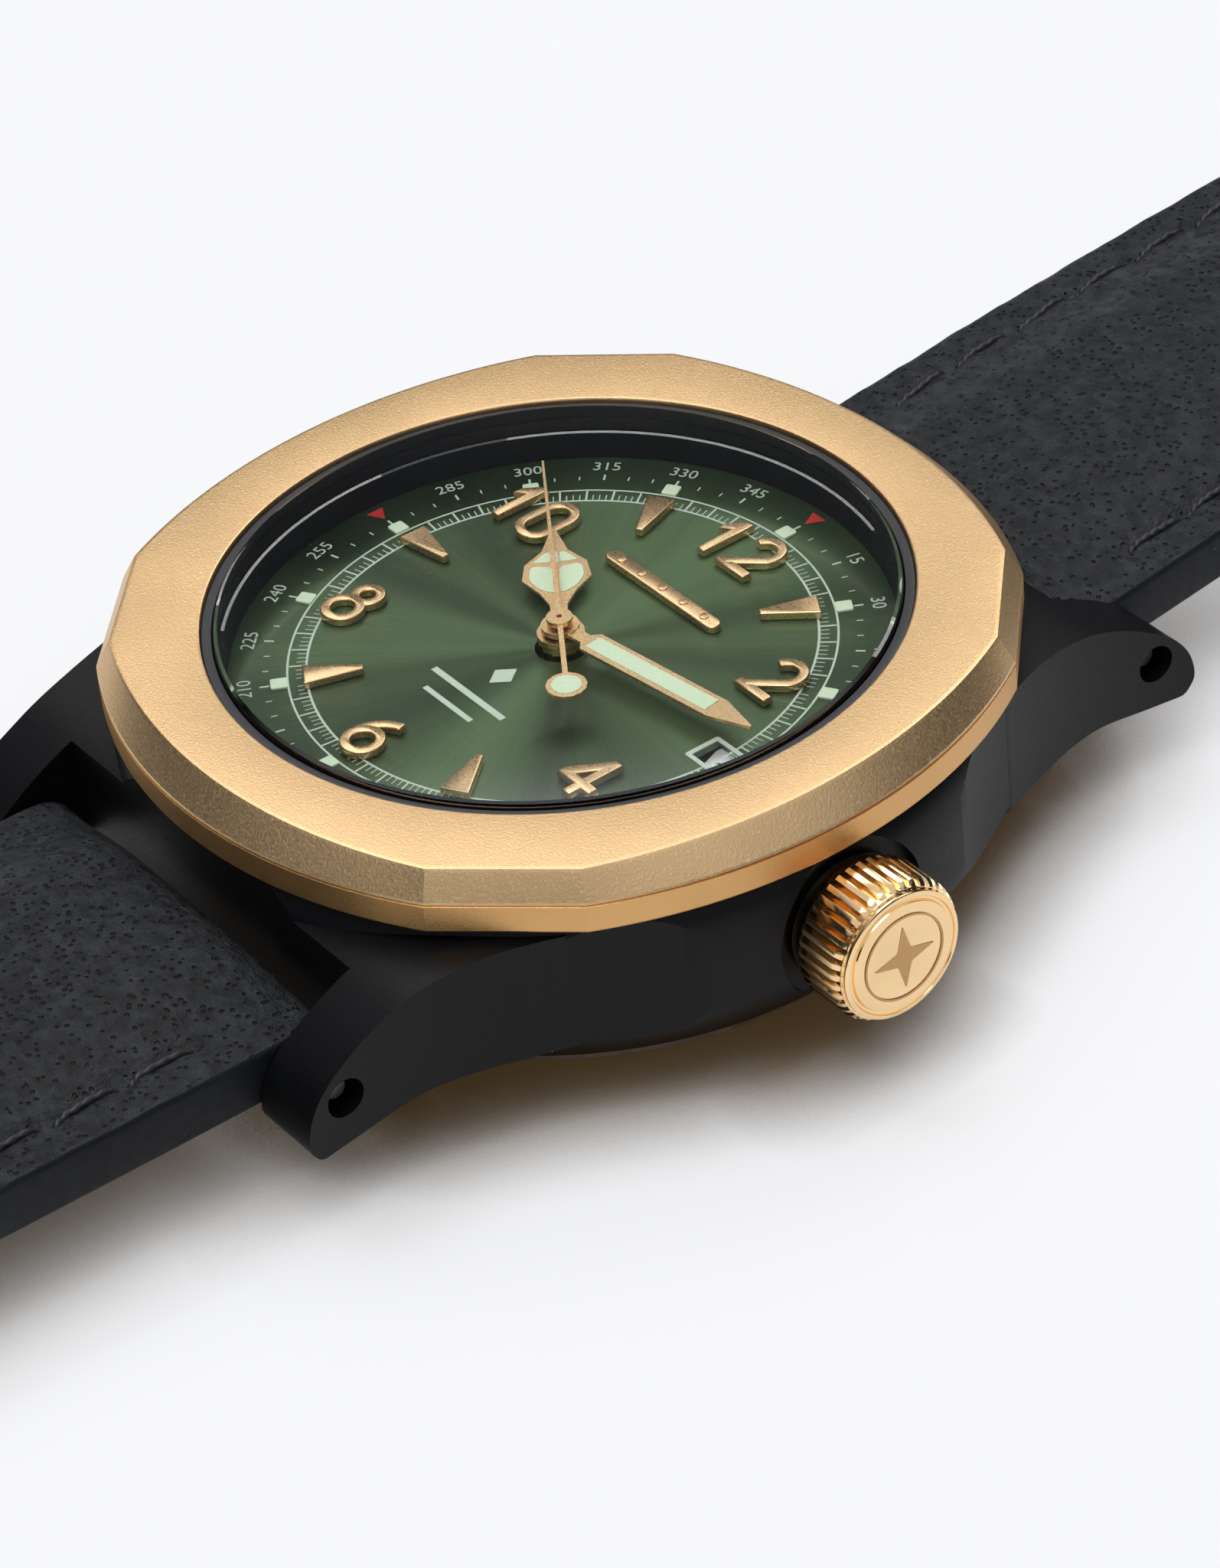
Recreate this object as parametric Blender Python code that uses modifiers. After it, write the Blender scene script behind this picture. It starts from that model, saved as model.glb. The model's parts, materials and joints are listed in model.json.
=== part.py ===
"""Automatic wristwatch with a many-sided fixed bezel, a date window and a leather strap laid out flat.

Every size and place below is in millimetres; the helpers scale to metres when they make a mesh.
The origin is the centre of the case back's flat face.
+X points to the crown, +Y to 12 o'clock and +Z out of the dial.
"""

import math

import bmesh
import bpy
from mathutils import Matrix, Vector

MM = 0.001
ROUND = 48          # sides of every large turned piece, so that nested rings stay parallel
SMALL_ROUND = 16    # sides of shafts, tubes and small holes

# Clearances
FIT = 0.05          # between nested rings and stacked plates
RUNNING = 0.1       # between a moving piece and its neighbour
BACKLASH = 0.03     # by which every gear's teeth stand inside their pitch circle

# Case
CASE_RADIUS = 18.85
CASE_TOP = 9.65
CASE_BOTTOM = 1.1
FLANK_BASE = 4.7            # where the case's upright flank turns in towards the back
NECK_RADIUS = 15.6
NECK_TOP = 10.9
CASE_BORE = 14.3
LUG_SPAN = 44.8
LUG_WIDTH = 20.0
LUG_OUTER_HALF = 13.6
LUG_ROOT_HALF = 14.9
LUG_ROOT = 12.0             # distance from the middle at which the lugs' plan stops widening
GAP_WALL = 17.7
SCOOP_RADIUS = 21.0
SCOOP_CENTRE = (34.1, 19.5)
SCOOP_TOP = 9.5
BAR_Y = 20.45
BAR_Z = 5.55
LUG_HOLE_RADIUS = 0.85

# Bezel
BEZEL_TOP = 12.3
BEZEL_SHOULDER = 11.1
BEZEL_BASE = 9.75
BEZEL_BORE = 14.57
BEZEL_TURN = 2.0            # degrees the pressed-on bezel sits round from square
BEZEL_CORNER_ANGLE = 9.5    # half the angle across each short diagonal flat
TOP_CORNER_RADIUS = 18.25
TOP_SIDE_RADIUS = 17.3
WALL_CORNER_RADIUS = 18.95
WALL_SIDE_RADIUS = 18.45

# Crystal and the space under it
CRYSTAL_RADIUS = 14.1
CRYSTAL_THICKNESS = 1.95
CRYSTAL_BEVEL = 0.2
GASKET_OUTER = BEZEL_BORE - FIT
GASKET_BASE = 10.35
GASKET_TOP = 12.1
FLANGE_INNER = 13.75
FLANGE_DRAFT = 0.15         # by which the flange opens from the dial to the crystal
FLANGE_OUTER = CASE_BORE - FIT

# Dial
DIAL_RADIUS = 14.2
DIAL_TOP = 8.5
DIAL_THICKNESS = 0.4
DIAL_HOLE = 1.15
DATE_WINDOW_CENTRE = 10.33
DATE_WINDOW_SIZE = (1.9, 1.6)
NUMERAL_RADIUS = 9.4
NUMERAL_HEIGHT = 2.7
NUMERAL_STROKE = 0.45
DIGIT_UNIT = NUMERAL_HEIGHT / 0.74      # the digits' outlines are 0.74 of a unit tall
TENS_OFFSET = 1.16          # from the middle of a two-digit hour to the middle of each digit
UNITS_OFFSET = 0.79
MARKER_LIFT = 0.35
WEDGE_LENGTH = 2.5
WEDGE_WIDTH = 1.3
WEDGE_POINT = 0.35
EMBLEM_SIZE = (7.4, 0.75)
EMBLEM_Y = 5.2

# Hands
HOUR_HAND_Z = 9.05
MINUTE_HAND_Z = 9.42
SECONDS_HAND_Z = 9.8
HAND_THICKNESS = 0.14
HOUR_ANGLE = 304.0
MINUTE_ANGLE = 82.5
SECONDS_ANGLE = 303.0
HOUR_HAND_LENGTH = 7.6
HOUR_HAND_LOBE = 1.45       # half the width of the hour hand's round part
HOUR_HUB, HOUR_BORE = 1.0, 0.72
MINUTE_HAND_LENGTH = 10.9
MINUTE_HAND_WIDTH = 1.25
MINUTE_HAND_POINT = 1.9
MINUTE_HUB, MINUTE_BORE = 0.8, 0.34
SECONDS_HAND_LENGTH = 11.6
SECONDS_HUB, SECONDS_BORE = 0.55, 0.12
NEEDLE_HALF = 0.11
HUB_PROUD = 0.06            # by which a hub stands above its hand
POST_SHORT = 0.07           # gap between the top of an arbor and the underside of its hand
COUNTER_RADIUS = 0.85
COUNTER_REACH = 4.7

# Case back
BACK_RADIUS = 15.3
BACK_FACE_RADIUS = 13.2
BACK_EDGE = 0.55            # height of the outer edge of the case back's sloped band
BACK_RIM = 1.0
GROOVE_DEPTH = 0.3
BACK_NECK_TOP = 2.4
BACK_NECK_OUTER = 14.2
BACK_NECK_INNER = 13.4
BACK_FLOOR = 1.2
BACK_NOTCHES = 6
NOTCH_SIZE = (2.2, 1.2, 0.5)

# Crown and keyless works
CROWN_Z = 6.33
CROWN_RADIUS = 3.12
CROWN_FACE_RADIUS = 2.7
CROWN_INNER_END = 18.15
CROWN_OUTER_END = 21.75
CROWN_TEETH = 36
CROWN_NOTCH = 0.28
CROWN_COLLAR = 0.6          # length of the plain collar before the teeth
CROWN_BORE = 1.62
CROWN_BORE_DEPTH = 2.6
CROWN_POCKET_RADIUS = 3.5
TUBE_OUTER = 1.25
TUBE_INNER = 0.75
TUBE_START = 14.6
TUBE_END = 20.5
STEM_RADIUS = 0.5
STEM_START = 5.3
CLUTCH_RADIUS = 0.68
CLUTCH_SPAN = (7.6, 9.0)
LEVER_FROM_STEM = 4.6       # from the stem's inner end to the setting lever

# Movement
PLATE_RADIUS = 13.0
PLATE_BOTTOM = 5.95
PLATE_TOP = 7.2
CENTRE_HOLE = 0.75
BRIDGE_HOLE = 0.5
BRIDGE_BOTTOM = 3.0
BRIDGE_TOP = 3.6
RING_INNER = PLATE_RADIUS + RUNNING
ARBOR_BOTTOM = BRIDGE_TOP + FIT
ARBOR_TOP = PLATE_BOTTOM - FIT
ARBOR_RADIUS = 0.15
SECONDS_ARBOR = 0.22
WHEEL_THICKNESS = 0.2
CENTRE_LEVEL = 5.5          # height of the underside of each wheel's rim
THIRD_LEVEL = 4.45
FOURTH_LEVEL = 4.05
ESCAPE_LEVEL = 4.75
BALANCE_LEVEL = 3.7
SPRING_LEVEL = 4.25
DRUM_BOTTOM = 4.35
DRUM_TOP = 5.2
CENTRE_DISTANCE = 4.5
CENTRE_TEETH = 64
THIRD_PINION_TEETH = 8
THIRD_TEETH = 60
FOURTH_PINION_TEETH = 8
FOURTH_TEETH = 72
FOURTH_RADIUS = 4.1
ESCAPE_PINION_TEETH = 6
ESCAPE_TEETH = 15
ESCAPE_RADIUS = 1.9
BARREL_TEETH = 72
CENTRE_PINION_TEETH = 9
BARREL_DISTANCE = 5.62
CANNON_TEETH = 12
MINUTE_WHEEL_TEETH = 36
MINUTE_PINION_TEETH = 10
HOUR_WHEEL_TEETH = 40
MOTION_DISTANCE = 3.6
BARREL_ANGLE = 60.0
THIRD_ANGLE = 195.0
ESCAPE_ANGLE = 310.0
MINUTE_WHEEL_ANGLE = 130.0
PALLET_DISTANCE = 2.45
BALANCE_DISTANCE = 8.4
BALANCE_RADIUS = 3.65
DATE_RING_INNER = 9.1
DATE_RING_OUTER = 12.6
DATE_RING_TEETH = 31
ROTOR_RADIUS = 12.7
ROTOR_HUB = 1.65
ROTOR_WEB = (2.3, 2.55)     # underside and top of the rotor's thin web
ROTOR_RIM = 3.4             # width of its heavy rim
ROTOR_HALF_ANGLE = 84.0
ROTOR_REST = 200.0          # the direction its weight points at rest, in degrees

# Strap
STRAP_WIDTH = LUG_WIDTH - 2 * RUNNING
STRAP_END_WIDTH = STRAP_WIDTH / 1.1
STRAP_END_RADIUS = 1.9
STRAP_PAD = 3.9
STRAP_THIN = 2.4
THINNING = (8.0, 50.0)      # distances from the bar between which the strap thins
TAPER_START = 6.0
STRAP_TUNNEL = 0.95
SPRING_BAR_RADIUS = 0.75
SPRING_BAR_TIP = 0.45
LONG_STRAP = 118.0
SHORT_STRAP = 75.0
LONG_LAND = 1.25            # height of the long half's middle where it lies on the table
SHORT_LAND = 2.6
LONG_FALL = (15.0, 52.0)    # distances from the bar between which each half comes down
SHORT_FALL = (34.0, 64.0)
SHORT_RISE = 0.13
SHORT_BEND = 0.0009
STRAP_HOLES = 7
FIRST_HOLE = 60.0
HOLE_PITCH = 6.5
STRAP_HOLE_RADIUS = 0.9

# Buckle and keepers
BUCKLE_END_RADIUS = 1.2
BUCKLE_BAR_RADIUS = 0.5
BUCKLE_INNER_HALF = STRAP_END_WIDTH / 2 + 0.25
BUCKLE_OUTER_HALF = BUCKLE_INNER_HALF + 1.95
BUCKLE_REACH = 10.8
BUCKLE_RAIL = 2.2
BUCKLE_THICKNESS = 2.0
BUCKLE_TILT = 8.0
TONGUE_WIDTH = 1.6
TONGUE_HUB = 1.1
TONGUE_SLOT = 4.4
BUCKLE_CORNER = 2.4
BUCKLE_BACK = 1.5           # by which its arms reach behind the bar
PIVOT_PLAY = 0.08
KEEPER_LENGTH = 5.0
KEEPER_WALL = 1.05
KEEPER_PLAY = 1.3           # width inside a keeper beyond the strap's narrow end
KEEPER_HEIGHT = 5.3
FIXED_KEEPER_AT = 69.5
FREE_KEEPER_AT = 52.0


# --------------------------------------------------------------------------------------------------
# Scene, collections and materials
# --------------------------------------------------------------------------------------------------

for leftover in list(bpy.data.objects):
    bpy.data.objects.remove(leftover, do_unlink=True)


def new_collection(name):
    made = bpy.data.collections.new(name)
    bpy.context.scene.collection.children.link(made)
    return made


PARTS = new_collection("wristwatch")
CUTTERS = new_collection("cutters")

FINISHES = {
    "black_case": ((0.012, 0.013, 0.015), 0.45, 0.6),
    "gold_satin": ((0.72, 0.46, 0.20), 0.38, 1.0),
    "gold_polished": ((0.90, 0.62, 0.30), 0.15, 1.0),
    "crystal": ((0.95, 0.97, 1.0), 0.02, 0.0),
    "rubber": ((0.02, 0.02, 0.025), 0.6, 0.0),
    "flange_black": ((0.004, 0.004, 0.005), 0.6, 0.0),
    "dial_green": ((0.06, 0.12, 0.05), 0.35, 0.4),
    "steel": ((0.60, 0.60, 0.62), 0.25, 1.0),
    "plate": ((0.66, 0.64, 0.60), 0.3, 1.0),
    "brass": ((0.75, 0.56, 0.25), 0.25, 1.0),
    "date_white": ((0.8, 0.8, 0.78), 0.6, 0.0),
    "plastic": ((0.7, 0.7, 0.66), 0.5, 0.0),
    "leather_black": ((0.018, 0.02, 0.024), 0.6, 0.0),
}


def finish(name):
    """The named Principled material, made the first time it is asked for."""
    if name in bpy.data.materials:
        return bpy.data.materials[name]
    colour, roughness, metallic = FINISHES[name]
    made = bpy.data.materials.new(name)
    made.use_nodes = True
    shader = made.node_tree.nodes["Principled BSDF"]
    shader.inputs["Base Color"].default_value = (*colour, 1.0)
    shader.inputs["Roughness"].default_value = roughness
    shader.inputs["Metallic"].default_value = metallic
    made.diffuse_color = (*colour, 1.0)
    return made


# --------------------------------------------------------------------------------------------------
# Modelling helpers: every one takes millimetres and world places
# --------------------------------------------------------------------------------------------------

def keep(name, mesh, material, cutter=False):
    """Puts a finished mesh in the scene as a part or as a cutter."""
    made = bpy.data.objects.new(name, mesh)
    if cutter:
        CUTTERS.objects.link(made)
        made.hide_render = True
        made.display_type = "WIRE"
    else:
        PARTS.objects.link(made)
        mesh.materials.clear()
        mesh.materials.append(finish(material))
        mesh.shade_smooth()
        mesh.set_sharp_from_angle(angle=math.radians(32.0))
    return made


def baked(source, name, material, cutter=False):
    """A plain mesh object made from one with modifiers or from a curve, which is then removed."""
    bpy.context.view_layer.update()
    evaluated = source.evaluated_get(bpy.context.evaluated_depsgraph_get())
    mesh = bpy.data.meshes.new_from_object(evaluated)
    mesh.transform(source.matrix_world)
    bpy.data.objects.remove(source, do_unlink=True)
    form = bmesh.new()
    form.from_mesh(mesh)
    bmesh.ops.remove_doubles(form, verts=form.verts, dist=1e-7)
    bmesh.ops.dissolve_degenerate(form, dist=1e-8, edges=form.edges)
    form.to_mesh(mesh)
    form.free()
    mesh.name = name
    return keep(name, mesh, material, cutter)


def turned(name, profile, material, steps=ROUND, axis="Z", centre=(0.0, 0.0), start=0.0, cutter=False):
    """A solid turned about an axis from (radius, height) points; a ring's profile never touches the axis."""
    area = sum(a[0] * b[1] - b[0] * a[1] for a, b in zip(profile, profile[1:] + profile[:1]))
    ordered = profile if area < 0 else profile[::-1]
    on_axis = [i for i, point in enumerate(ordered) if point[0] == 0.0]
    if on_axis:
        first = max(on_axis, key=lambda i: ordered[i][1])
        ordered = ordered[first:] + ordered[:first]
    form = bmesh.new()
    verts = [form.verts.new((radius * MM, 0.0, height * MM)) for radius, height in ordered]
    for a, b in zip(verts, verts[1:]):
        form.edges.new((a, b))
    if not on_axis:
        form.edges.new((verts[-1], verts[0]))
    mesh = bpy.data.meshes.new(name)
    form.to_mesh(mesh)
    form.free()
    source = keep(name + "_profile", mesh, material, cutter=True)
    screw = source.modifiers.new("turn", "SCREW")
    screw.axis = "Z"
    screw.steps = steps
    screw.render_steps = steps
    screw.use_merge_vertices = True
    screw.merge_threshold = 1e-6
    spin = Matrix.Rotation(math.radians(start), 4, "Z")
    if axis == "X":
        place = Matrix.Translation(Vector((0.0, centre[0], centre[1])) * MM)
        source.matrix_world = place @ Matrix.Rotation(math.radians(90.0), 4, "Y") @ spin
    else:
        source.matrix_world = Matrix.Translation(Vector((centre[0], centre[1], 0.0)) * MM) @ spin
    return baked(source, name, material, cutter)


def plate(name, outlines, low, high, material, axis="Z", cutter=False):
    """A flat piece: closed outlines, the first outside and the rest holes, filled between two heights.

    The outline's two coordinates are (x, y) for axis Z and (y, z) for axis X.
    """
    curve = bpy.data.curves.new(name, "CURVE")
    curve.dimensions = "2D"
    curve.fill_mode = "BOTH"
    curve.extrude = (high - low) / 2 * MM
    for outline in outlines:
        spline = curve.splines.new("POLY")
        spline.points.add(len(outline) - 1)
        for point, (u, v) in zip(spline.points, outline):
            point.co = (u * MM, v * MM, 0.0, 1.0)
        spline.use_cyclic_u = True
    source = bpy.data.objects.new(name + "_outline", curve)
    PARTS.objects.link(source)
    middle = (low + high) / 2 * MM
    if axis == "X":
        turn = Matrix(((0, 0, 1, middle), (1, 0, 0, 0), (0, 1, 0, 0), (0, 0, 0, 1)))
        source.matrix_world = turn
    else:
        source.matrix_world = Matrix.Translation((0.0, 0.0, middle))
    return baked(source, name, material, cutter)


def block(name, size, centre, material, cutter=False, turn=None):
    """A box of the given size about a centre, turned about X by an angle in degrees when one is given."""
    form = bmesh.new()
    bmesh.ops.create_cube(form, size=1.0)
    bmesh.ops.scale(form, vec=Vector(size) * MM, verts=form.verts)
    mesh = bpy.data.meshes.new(name)
    form.to_mesh(mesh)
    form.free()
    spin = Matrix.Rotation(math.radians(turn or 0.0), 4, "X")
    mesh.transform(Matrix.Translation(Vector(centre) * MM) @ spin)
    return keep(name, mesh, material, cutter)


def rod(name, radius, start, end, centre, material, axis="X", sides=SMALL_ROUND, cutter=False):
    """A plain cylinder along X through (y, z), or along Z through (x, y)."""
    form = bmesh.new()
    bmesh.ops.create_cone(
        form, cap_ends=True, segments=sides, radius1=radius * MM, radius2=radius * MM, depth=(end - start) * MM
    )
    mesh = bpy.data.meshes.new(name)
    form.to_mesh(mesh)
    form.free()
    middle = (start + end) / 2
    if axis == "X":
        place = Matrix.Translation(Vector((middle, centre[0], centre[1])) * MM)
        mesh.transform(place @ Matrix.Rotation(math.radians(90.0), 4, "Y"))
    else:
        mesh.transform(Matrix.Translation(Vector((centre[0], centre[1], middle)) * MM))
    return keep(name, mesh, material, cutter)


def combine(target, other, operation):
    """Adds an EXACT Boolean of another object, which becomes a hidden cutter."""
    if other.name in PARTS.objects:
        PARTS.objects.unlink(other)
        CUTTERS.objects.link(other)
        other.hide_render = True
        other.display_type = "WIRE"
    boolean = target.modifiers.new(operation.lower(), "BOOLEAN")
    boolean.operation = operation
    boolean.solver = "EXACT"
    boolean.object = other
    return target


def cut(target, other):
    return combine(target, other, "DIFFERENCE")


def join(target, other):
    return combine(target, other, "UNION")


def settle(target):
    """Applies a piece's modifiers and removes the objects that they used."""
    used = [modifier.object for modifier in target.modifiers if modifier.type == "BOOLEAN"]
    name = target.name
    made = baked(target, name + "_done", target.data.materials[0].name)
    for other in used:
        bpy.data.objects.remove(other, do_unlink=True)
    made.name = name
    return made


def on_axis(piece, point):
    """Moves a piece's origin to a point on its joint's axis and leaves its shape in place."""
    shift = Vector(point) * MM
    piece.data.transform(Matrix.Translation(-shift))
    piece.matrix_world = Matrix.Translation(shift)
    return piece


def polar(radius, angle):
    return (radius * math.cos(math.radians(angle)), radius * math.sin(math.radians(angle)))


def dial_angle(clockwise):
    """The mathematical angle of a direction given in degrees clockwise from 12 o'clock."""
    return 90.0 - clockwise


def shifted(points, centre, turn=0.0):
    cosine, sine = math.cos(math.radians(turn)), math.sin(math.radians(turn))
    return [
        (centre[0] + x * cosine - y * sine, centre[1] + x * sine + y * cosine) for x, y in points
    ]


def circle(radius, sides=SMALL_ROUND, centre=(0.0, 0.0), start=0.0):
    return shifted([polar(radius, start + 360.0 * i / sides) for i in range(sides)], centre)


def teeth(count, pitch_radius, depth, phase=0.0):
    """A gear outline with a peak and a valley for each tooth; phase is where one peak points, in degrees."""
    peak = pitch_radius + depth / 2 - BACKLASH
    valley = pitch_radius - depth / 2 - BACKLASH
    outline = []
    for i in range(count):
        outline.append(polar(peak, phase + 360.0 * i / count))
        outline.append(polar(valley, phase + 360.0 * (i + 0.5) / count))
    return outline


def smooth(value):
    value = min(max(value, 0.0), 1.0)
    return value * value * (3.0 - 2.0 * value)


# --------------------------------------------------------------------------------------------------
# Case
# --------------------------------------------------------------------------------------------------

def lug_outline():
    """The lugs and the middle of the case seen from the front, before the scoops."""
    tip = LUG_SPAN / 2
    half = [(LUG_ROOT_HALF, LUG_ROOT), (LUG_OUTER_HALF, tip)]
    right = [(x, -y) for x, y in reversed(half)] + half
    return right + [(-x, y) for x, y in reversed(right)]


def lug_side():
    """The lugs seen from the side: (y, z) points of one end, mirrored to the other."""
    tip = LUG_SPAN / 2
    upper = [
        (tip - 8.0, CASE_TOP - 0.35),
        (tip - 5.1, CASE_TOP - 0.9),
        (tip - 2.8, CASE_TOP - 2.0),
        (tip - 1.0, CASE_TOP - 3.2),
        (tip - 0.25, CASE_TOP - 4.2),
        (tip, CASE_TOP - 5.1),
    ]
    lower = [
        (tip, BAR_Z - 1.6),
        (tip - 0.5, BAR_Z - 2.25),
        (tip - 2.6, BAR_Z - 2.1),
        (tip - 5.6, BAR_Z - 1.5),
        (tip - 9.0, BAR_Z - 1.7),
    ]
    one_end = upper + lower
    return one_end + [(-y, z) for y, z in reversed(one_end)]


def case_profile():
    """The turned outer form of the case body, from the neck down to the seat of the case back."""
    return [
        (0.0, NECK_TOP),
        (NECK_RADIUS, NECK_TOP),
        (NECK_RADIUS, CASE_TOP),
        (CASE_RADIUS - 0.65, CASE_TOP),
        (CASE_RADIUS - 0.2, CASE_TOP - 0.75),
        (CASE_RADIUS, CASE_TOP - 2.0),
        (CASE_RADIUS, FLANK_BASE),
        (CASE_RADIUS - 0.5, FLANK_BASE - 0.8),
        (BACK_RADIUS + 0.8, CASE_BOTTOM + 0.3),
        (BACK_RADIUS, CASE_BOTTOM),
        (0.0, CASE_BOTTOM),
    ]


def case_bore_profile():
    """The space inside the case: the movement bore and, above it, the wider seat of the crystal's gasket."""
    ledge = GASKET_BASE - FIT
    return [
        (0.0, NECK_TOP + 1.0),
        (BEZEL_BORE, NECK_TOP + 1.0),
        (BEZEL_BORE, ledge),
        (CASE_BORE, ledge),
        (CASE_BORE, CASE_BOTTOM - 1.0),
        (0.0, CASE_BOTTOM - 1.0),
    ]


def build_mid_case():
    case = turned("mid_case", case_profile(), "black_case")
    lugs = plate("lug_block", [lug_side()], -CASE_RADIUS, CASE_RADIUS, "black_case", axis="X")
    cut_to = plate("lug_plan", [lug_outline()], 0.0, BEZEL_TOP, "black_case", cutter=True)
    combine(lugs, cut_to, "INTERSECT")
    join(case, settle(lugs))
    cut(case, turned("case_bore", case_bore_profile(), "steel", cutter=True))
    gap_depth = LUG_SPAN / 2 - GAP_WALL + 2.0
    for side in (1, -1):
        middle = (0.0, side * (GAP_WALL + gap_depth / 2), BEZEL_TOP / 2)
        cut(case, block("strap_gap", (LUG_WIDTH, gap_depth, BEZEL_TOP + 4.0), middle, "steel", cutter=True))
        hole_end = LUG_OUTER_HALF + 2.0
        bar = (side * BAR_Y, BAR_Z)
        cut(case, rod("lug_hole", LUG_HOLE_RADIUS, -hole_end, hole_end, bar, "steel", cutter=True))
        for x in (SCOOP_CENTRE[0], -SCOOP_CENTRE[0]):
            centre = (x, side * SCOOP_CENTRE[1])
            scoop = rod("lug_scoop", SCOOP_RADIUS, 0.0, SCOOP_TOP, centre, "steel", "Z", 72, cutter=True)
            cut(case, scoop)
    pocket_floor = CROWN_INNER_END - 2 * RUNNING
    reach = CASE_RADIUS + 2.0
    at = (0.0, CROWN_Z)
    pocket = rod("crown_pocket", CROWN_POCKET_RADIUS, pocket_floor, reach, at, "steel", sides=24, cutter=True)
    cut(case, pocket)
    cut(case, rod("tube_hole", TUBE_OUTER + FIT, CASE_BORE - 2.0, reach, at, "steel", cutter=True))
    return settle(case)


def arc_outline(corner_radius, side_radius, per_side=9):
    """A four-sided outline with long bowed sides and a short straight flat across each diagonal."""
    corner = 45.0 - BEZEL_CORNER_ANGLE
    x, y = polar(corner_radius, corner)
    bow_centre = (side_radius**2 - x * x - y * y) / (2 * (side_radius - x))
    bow = side_radius - bow_centre
    sweep = math.degrees(math.asin(y / bow))
    side = [
        (bow_centre + bow * math.cos(math.radians(a)), bow * math.sin(math.radians(a)))
        for a in [sweep * (2 * i / per_side - 1) for i in range(per_side + 1)]
    ]
    outline = []
    for quarter in range(4):
        turned_side = shifted(side, (0.0, 0.0), 90.0 * quarter)
        next_side = shifted(side, (0.0, 0.0), 90.0 * (quarter + 1))
        outline += turned_side
        a, b = turned_side[-1], next_side[0]
        outline += [(a[0] + (b[0] - a[0]) * t, a[1] + (b[1] - a[1]) * t) for t in (1 / 3, 2 / 3)]
    return shifted(outline, (0.0, 0.0), BEZEL_TURN)


def loft(name, sections, material):
    """A closed ring solid through sections that have the same number of points; the last joins the first."""
    form = bmesh.new()
    rings = [
        [form.verts.new((x * MM, y * MM, z * MM)) for x, y in outline] for outline, z in sections
    ]
    count = len(rings[0])
    for lower, upper in zip(rings, rings[1:] + rings[:1]):
        for i in range(count):
            j = (i + 1) % count
            form.faces.new((lower[i], lower[j], upper[j], upper[i]))
    mesh = bpy.data.meshes.new(name)
    form.to_mesh(mesh)
    form.free()
    return keep(name, mesh, material)


def build_bezel():
    wall = arc_outline(WALL_CORNER_RADIUS, WALL_SIDE_RADIUS)
    crest = arc_outline(TOP_CORNER_RADIUS, TOP_SIDE_RADIUS)
    angles = [math.degrees(math.atan2(y, x)) for x, y in wall]
    bore = [polar(BEZEL_BORE, angle) for angle in angles]
    socket = [polar(NECK_RADIUS + FIT, angle) for angle in angles]
    step = NECK_TOP + FIT
    sections = [
        (wall, BEZEL_BASE),
        (wall, BEZEL_SHOULDER),
        (crest, BEZEL_TOP),
        (bore, BEZEL_TOP),
        (bore, step),
        (socket, step),
        (socket, BEZEL_BASE),
    ]
    return loft("bezel", sections, "gold_satin")


def build_glass():
    top = BEZEL_TOP + 0.05
    bottom = top - CRYSTAL_THICKNESS
    edge = CRYSTAL_RADIUS - FIT
    turned(
        "crystal",
        [(0.0, top), (edge - CRYSTAL_BEVEL, top), (edge, top - CRYSTAL_BEVEL), (edge, bottom), (0.0, bottom)],
        "crystal",
    )
    turned(
        "crystal_gasket",
        [
            (CRYSTAL_RADIUS, GASKET_TOP),
            (GASKET_OUTER, GASKET_TOP),
            (GASKET_OUTER, GASKET_BASE),
            (CRYSTAL_RADIUS, GASKET_BASE),
        ],
        "rubber",
    )
    flange_top = bottom - FIT
    flange_base = DIAL_TOP + FIT
    turned(
        "inner_flange",
        [
            (FLANGE_INNER, flange_base),
            (FLANGE_INNER + FLANGE_DRAFT, flange_top),
            (FLANGE_OUTER, flange_top),
            (FLANGE_OUTER, flange_base),
        ],
        "flange_black",
    )


def build_case_back():
    groove_inner = BACK_NECK_OUTER + 0.35
    groove_outer = BACK_RADIUS - 0.25
    groove_floor = BACK_RIM - GROOVE_DEPTH
    back = turned(
        "case_back",
        [
            (0.0, 0.0),
            (BACK_FACE_RADIUS, 0.0),
            (BACK_RADIUS, BACK_EDGE),
            (BACK_RADIUS, BACK_RIM),
            (groove_outer, BACK_RIM),
            (groove_outer, groove_floor),
            (groove_inner, groove_floor),
            (groove_inner, BACK_RIM),
            (BACK_NECK_OUTER, BACK_RIM),
            (BACK_NECK_OUTER, BACK_NECK_TOP),
            (BACK_NECK_INNER, BACK_NECK_TOP),
            (BACK_NECK_INNER, BACK_FLOOR),
            (0.0, BACK_FLOOR),
        ],
        "steel",
    )
    for i in range(BACK_NOTCHES):
        angle = 360.0 * i / BACK_NOTCHES
        notch = block("back_notch", NOTCH_SIZE, (0.0, 0.0, 0.0), "steel", cutter=True)
        x, y = polar(BACK_RADIUS, angle)
        place = Matrix.Translation(Vector((x, y, 0.15)) * MM)
        notch.data.transform(place @ Matrix.Rotation(math.radians(angle), 4, "Z"))
        cut(back, notch)
    settle(back)
    ring_inner = groove_inner + FIT
    ring_outer = groove_outer - FIT
    ring_top = CASE_BOTTOM - FIT
    ring_base = groove_floor + FIT
    turned(
        "case_back_gasket",
        [(ring_inner, ring_top), (ring_outer, ring_top), (ring_outer, ring_base), (ring_inner, ring_base)],
        "rubber",
    )


# --------------------------------------------------------------------------------------------------
# Dial, applied markers and hands
# --------------------------------------------------------------------------------------------------

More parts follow.
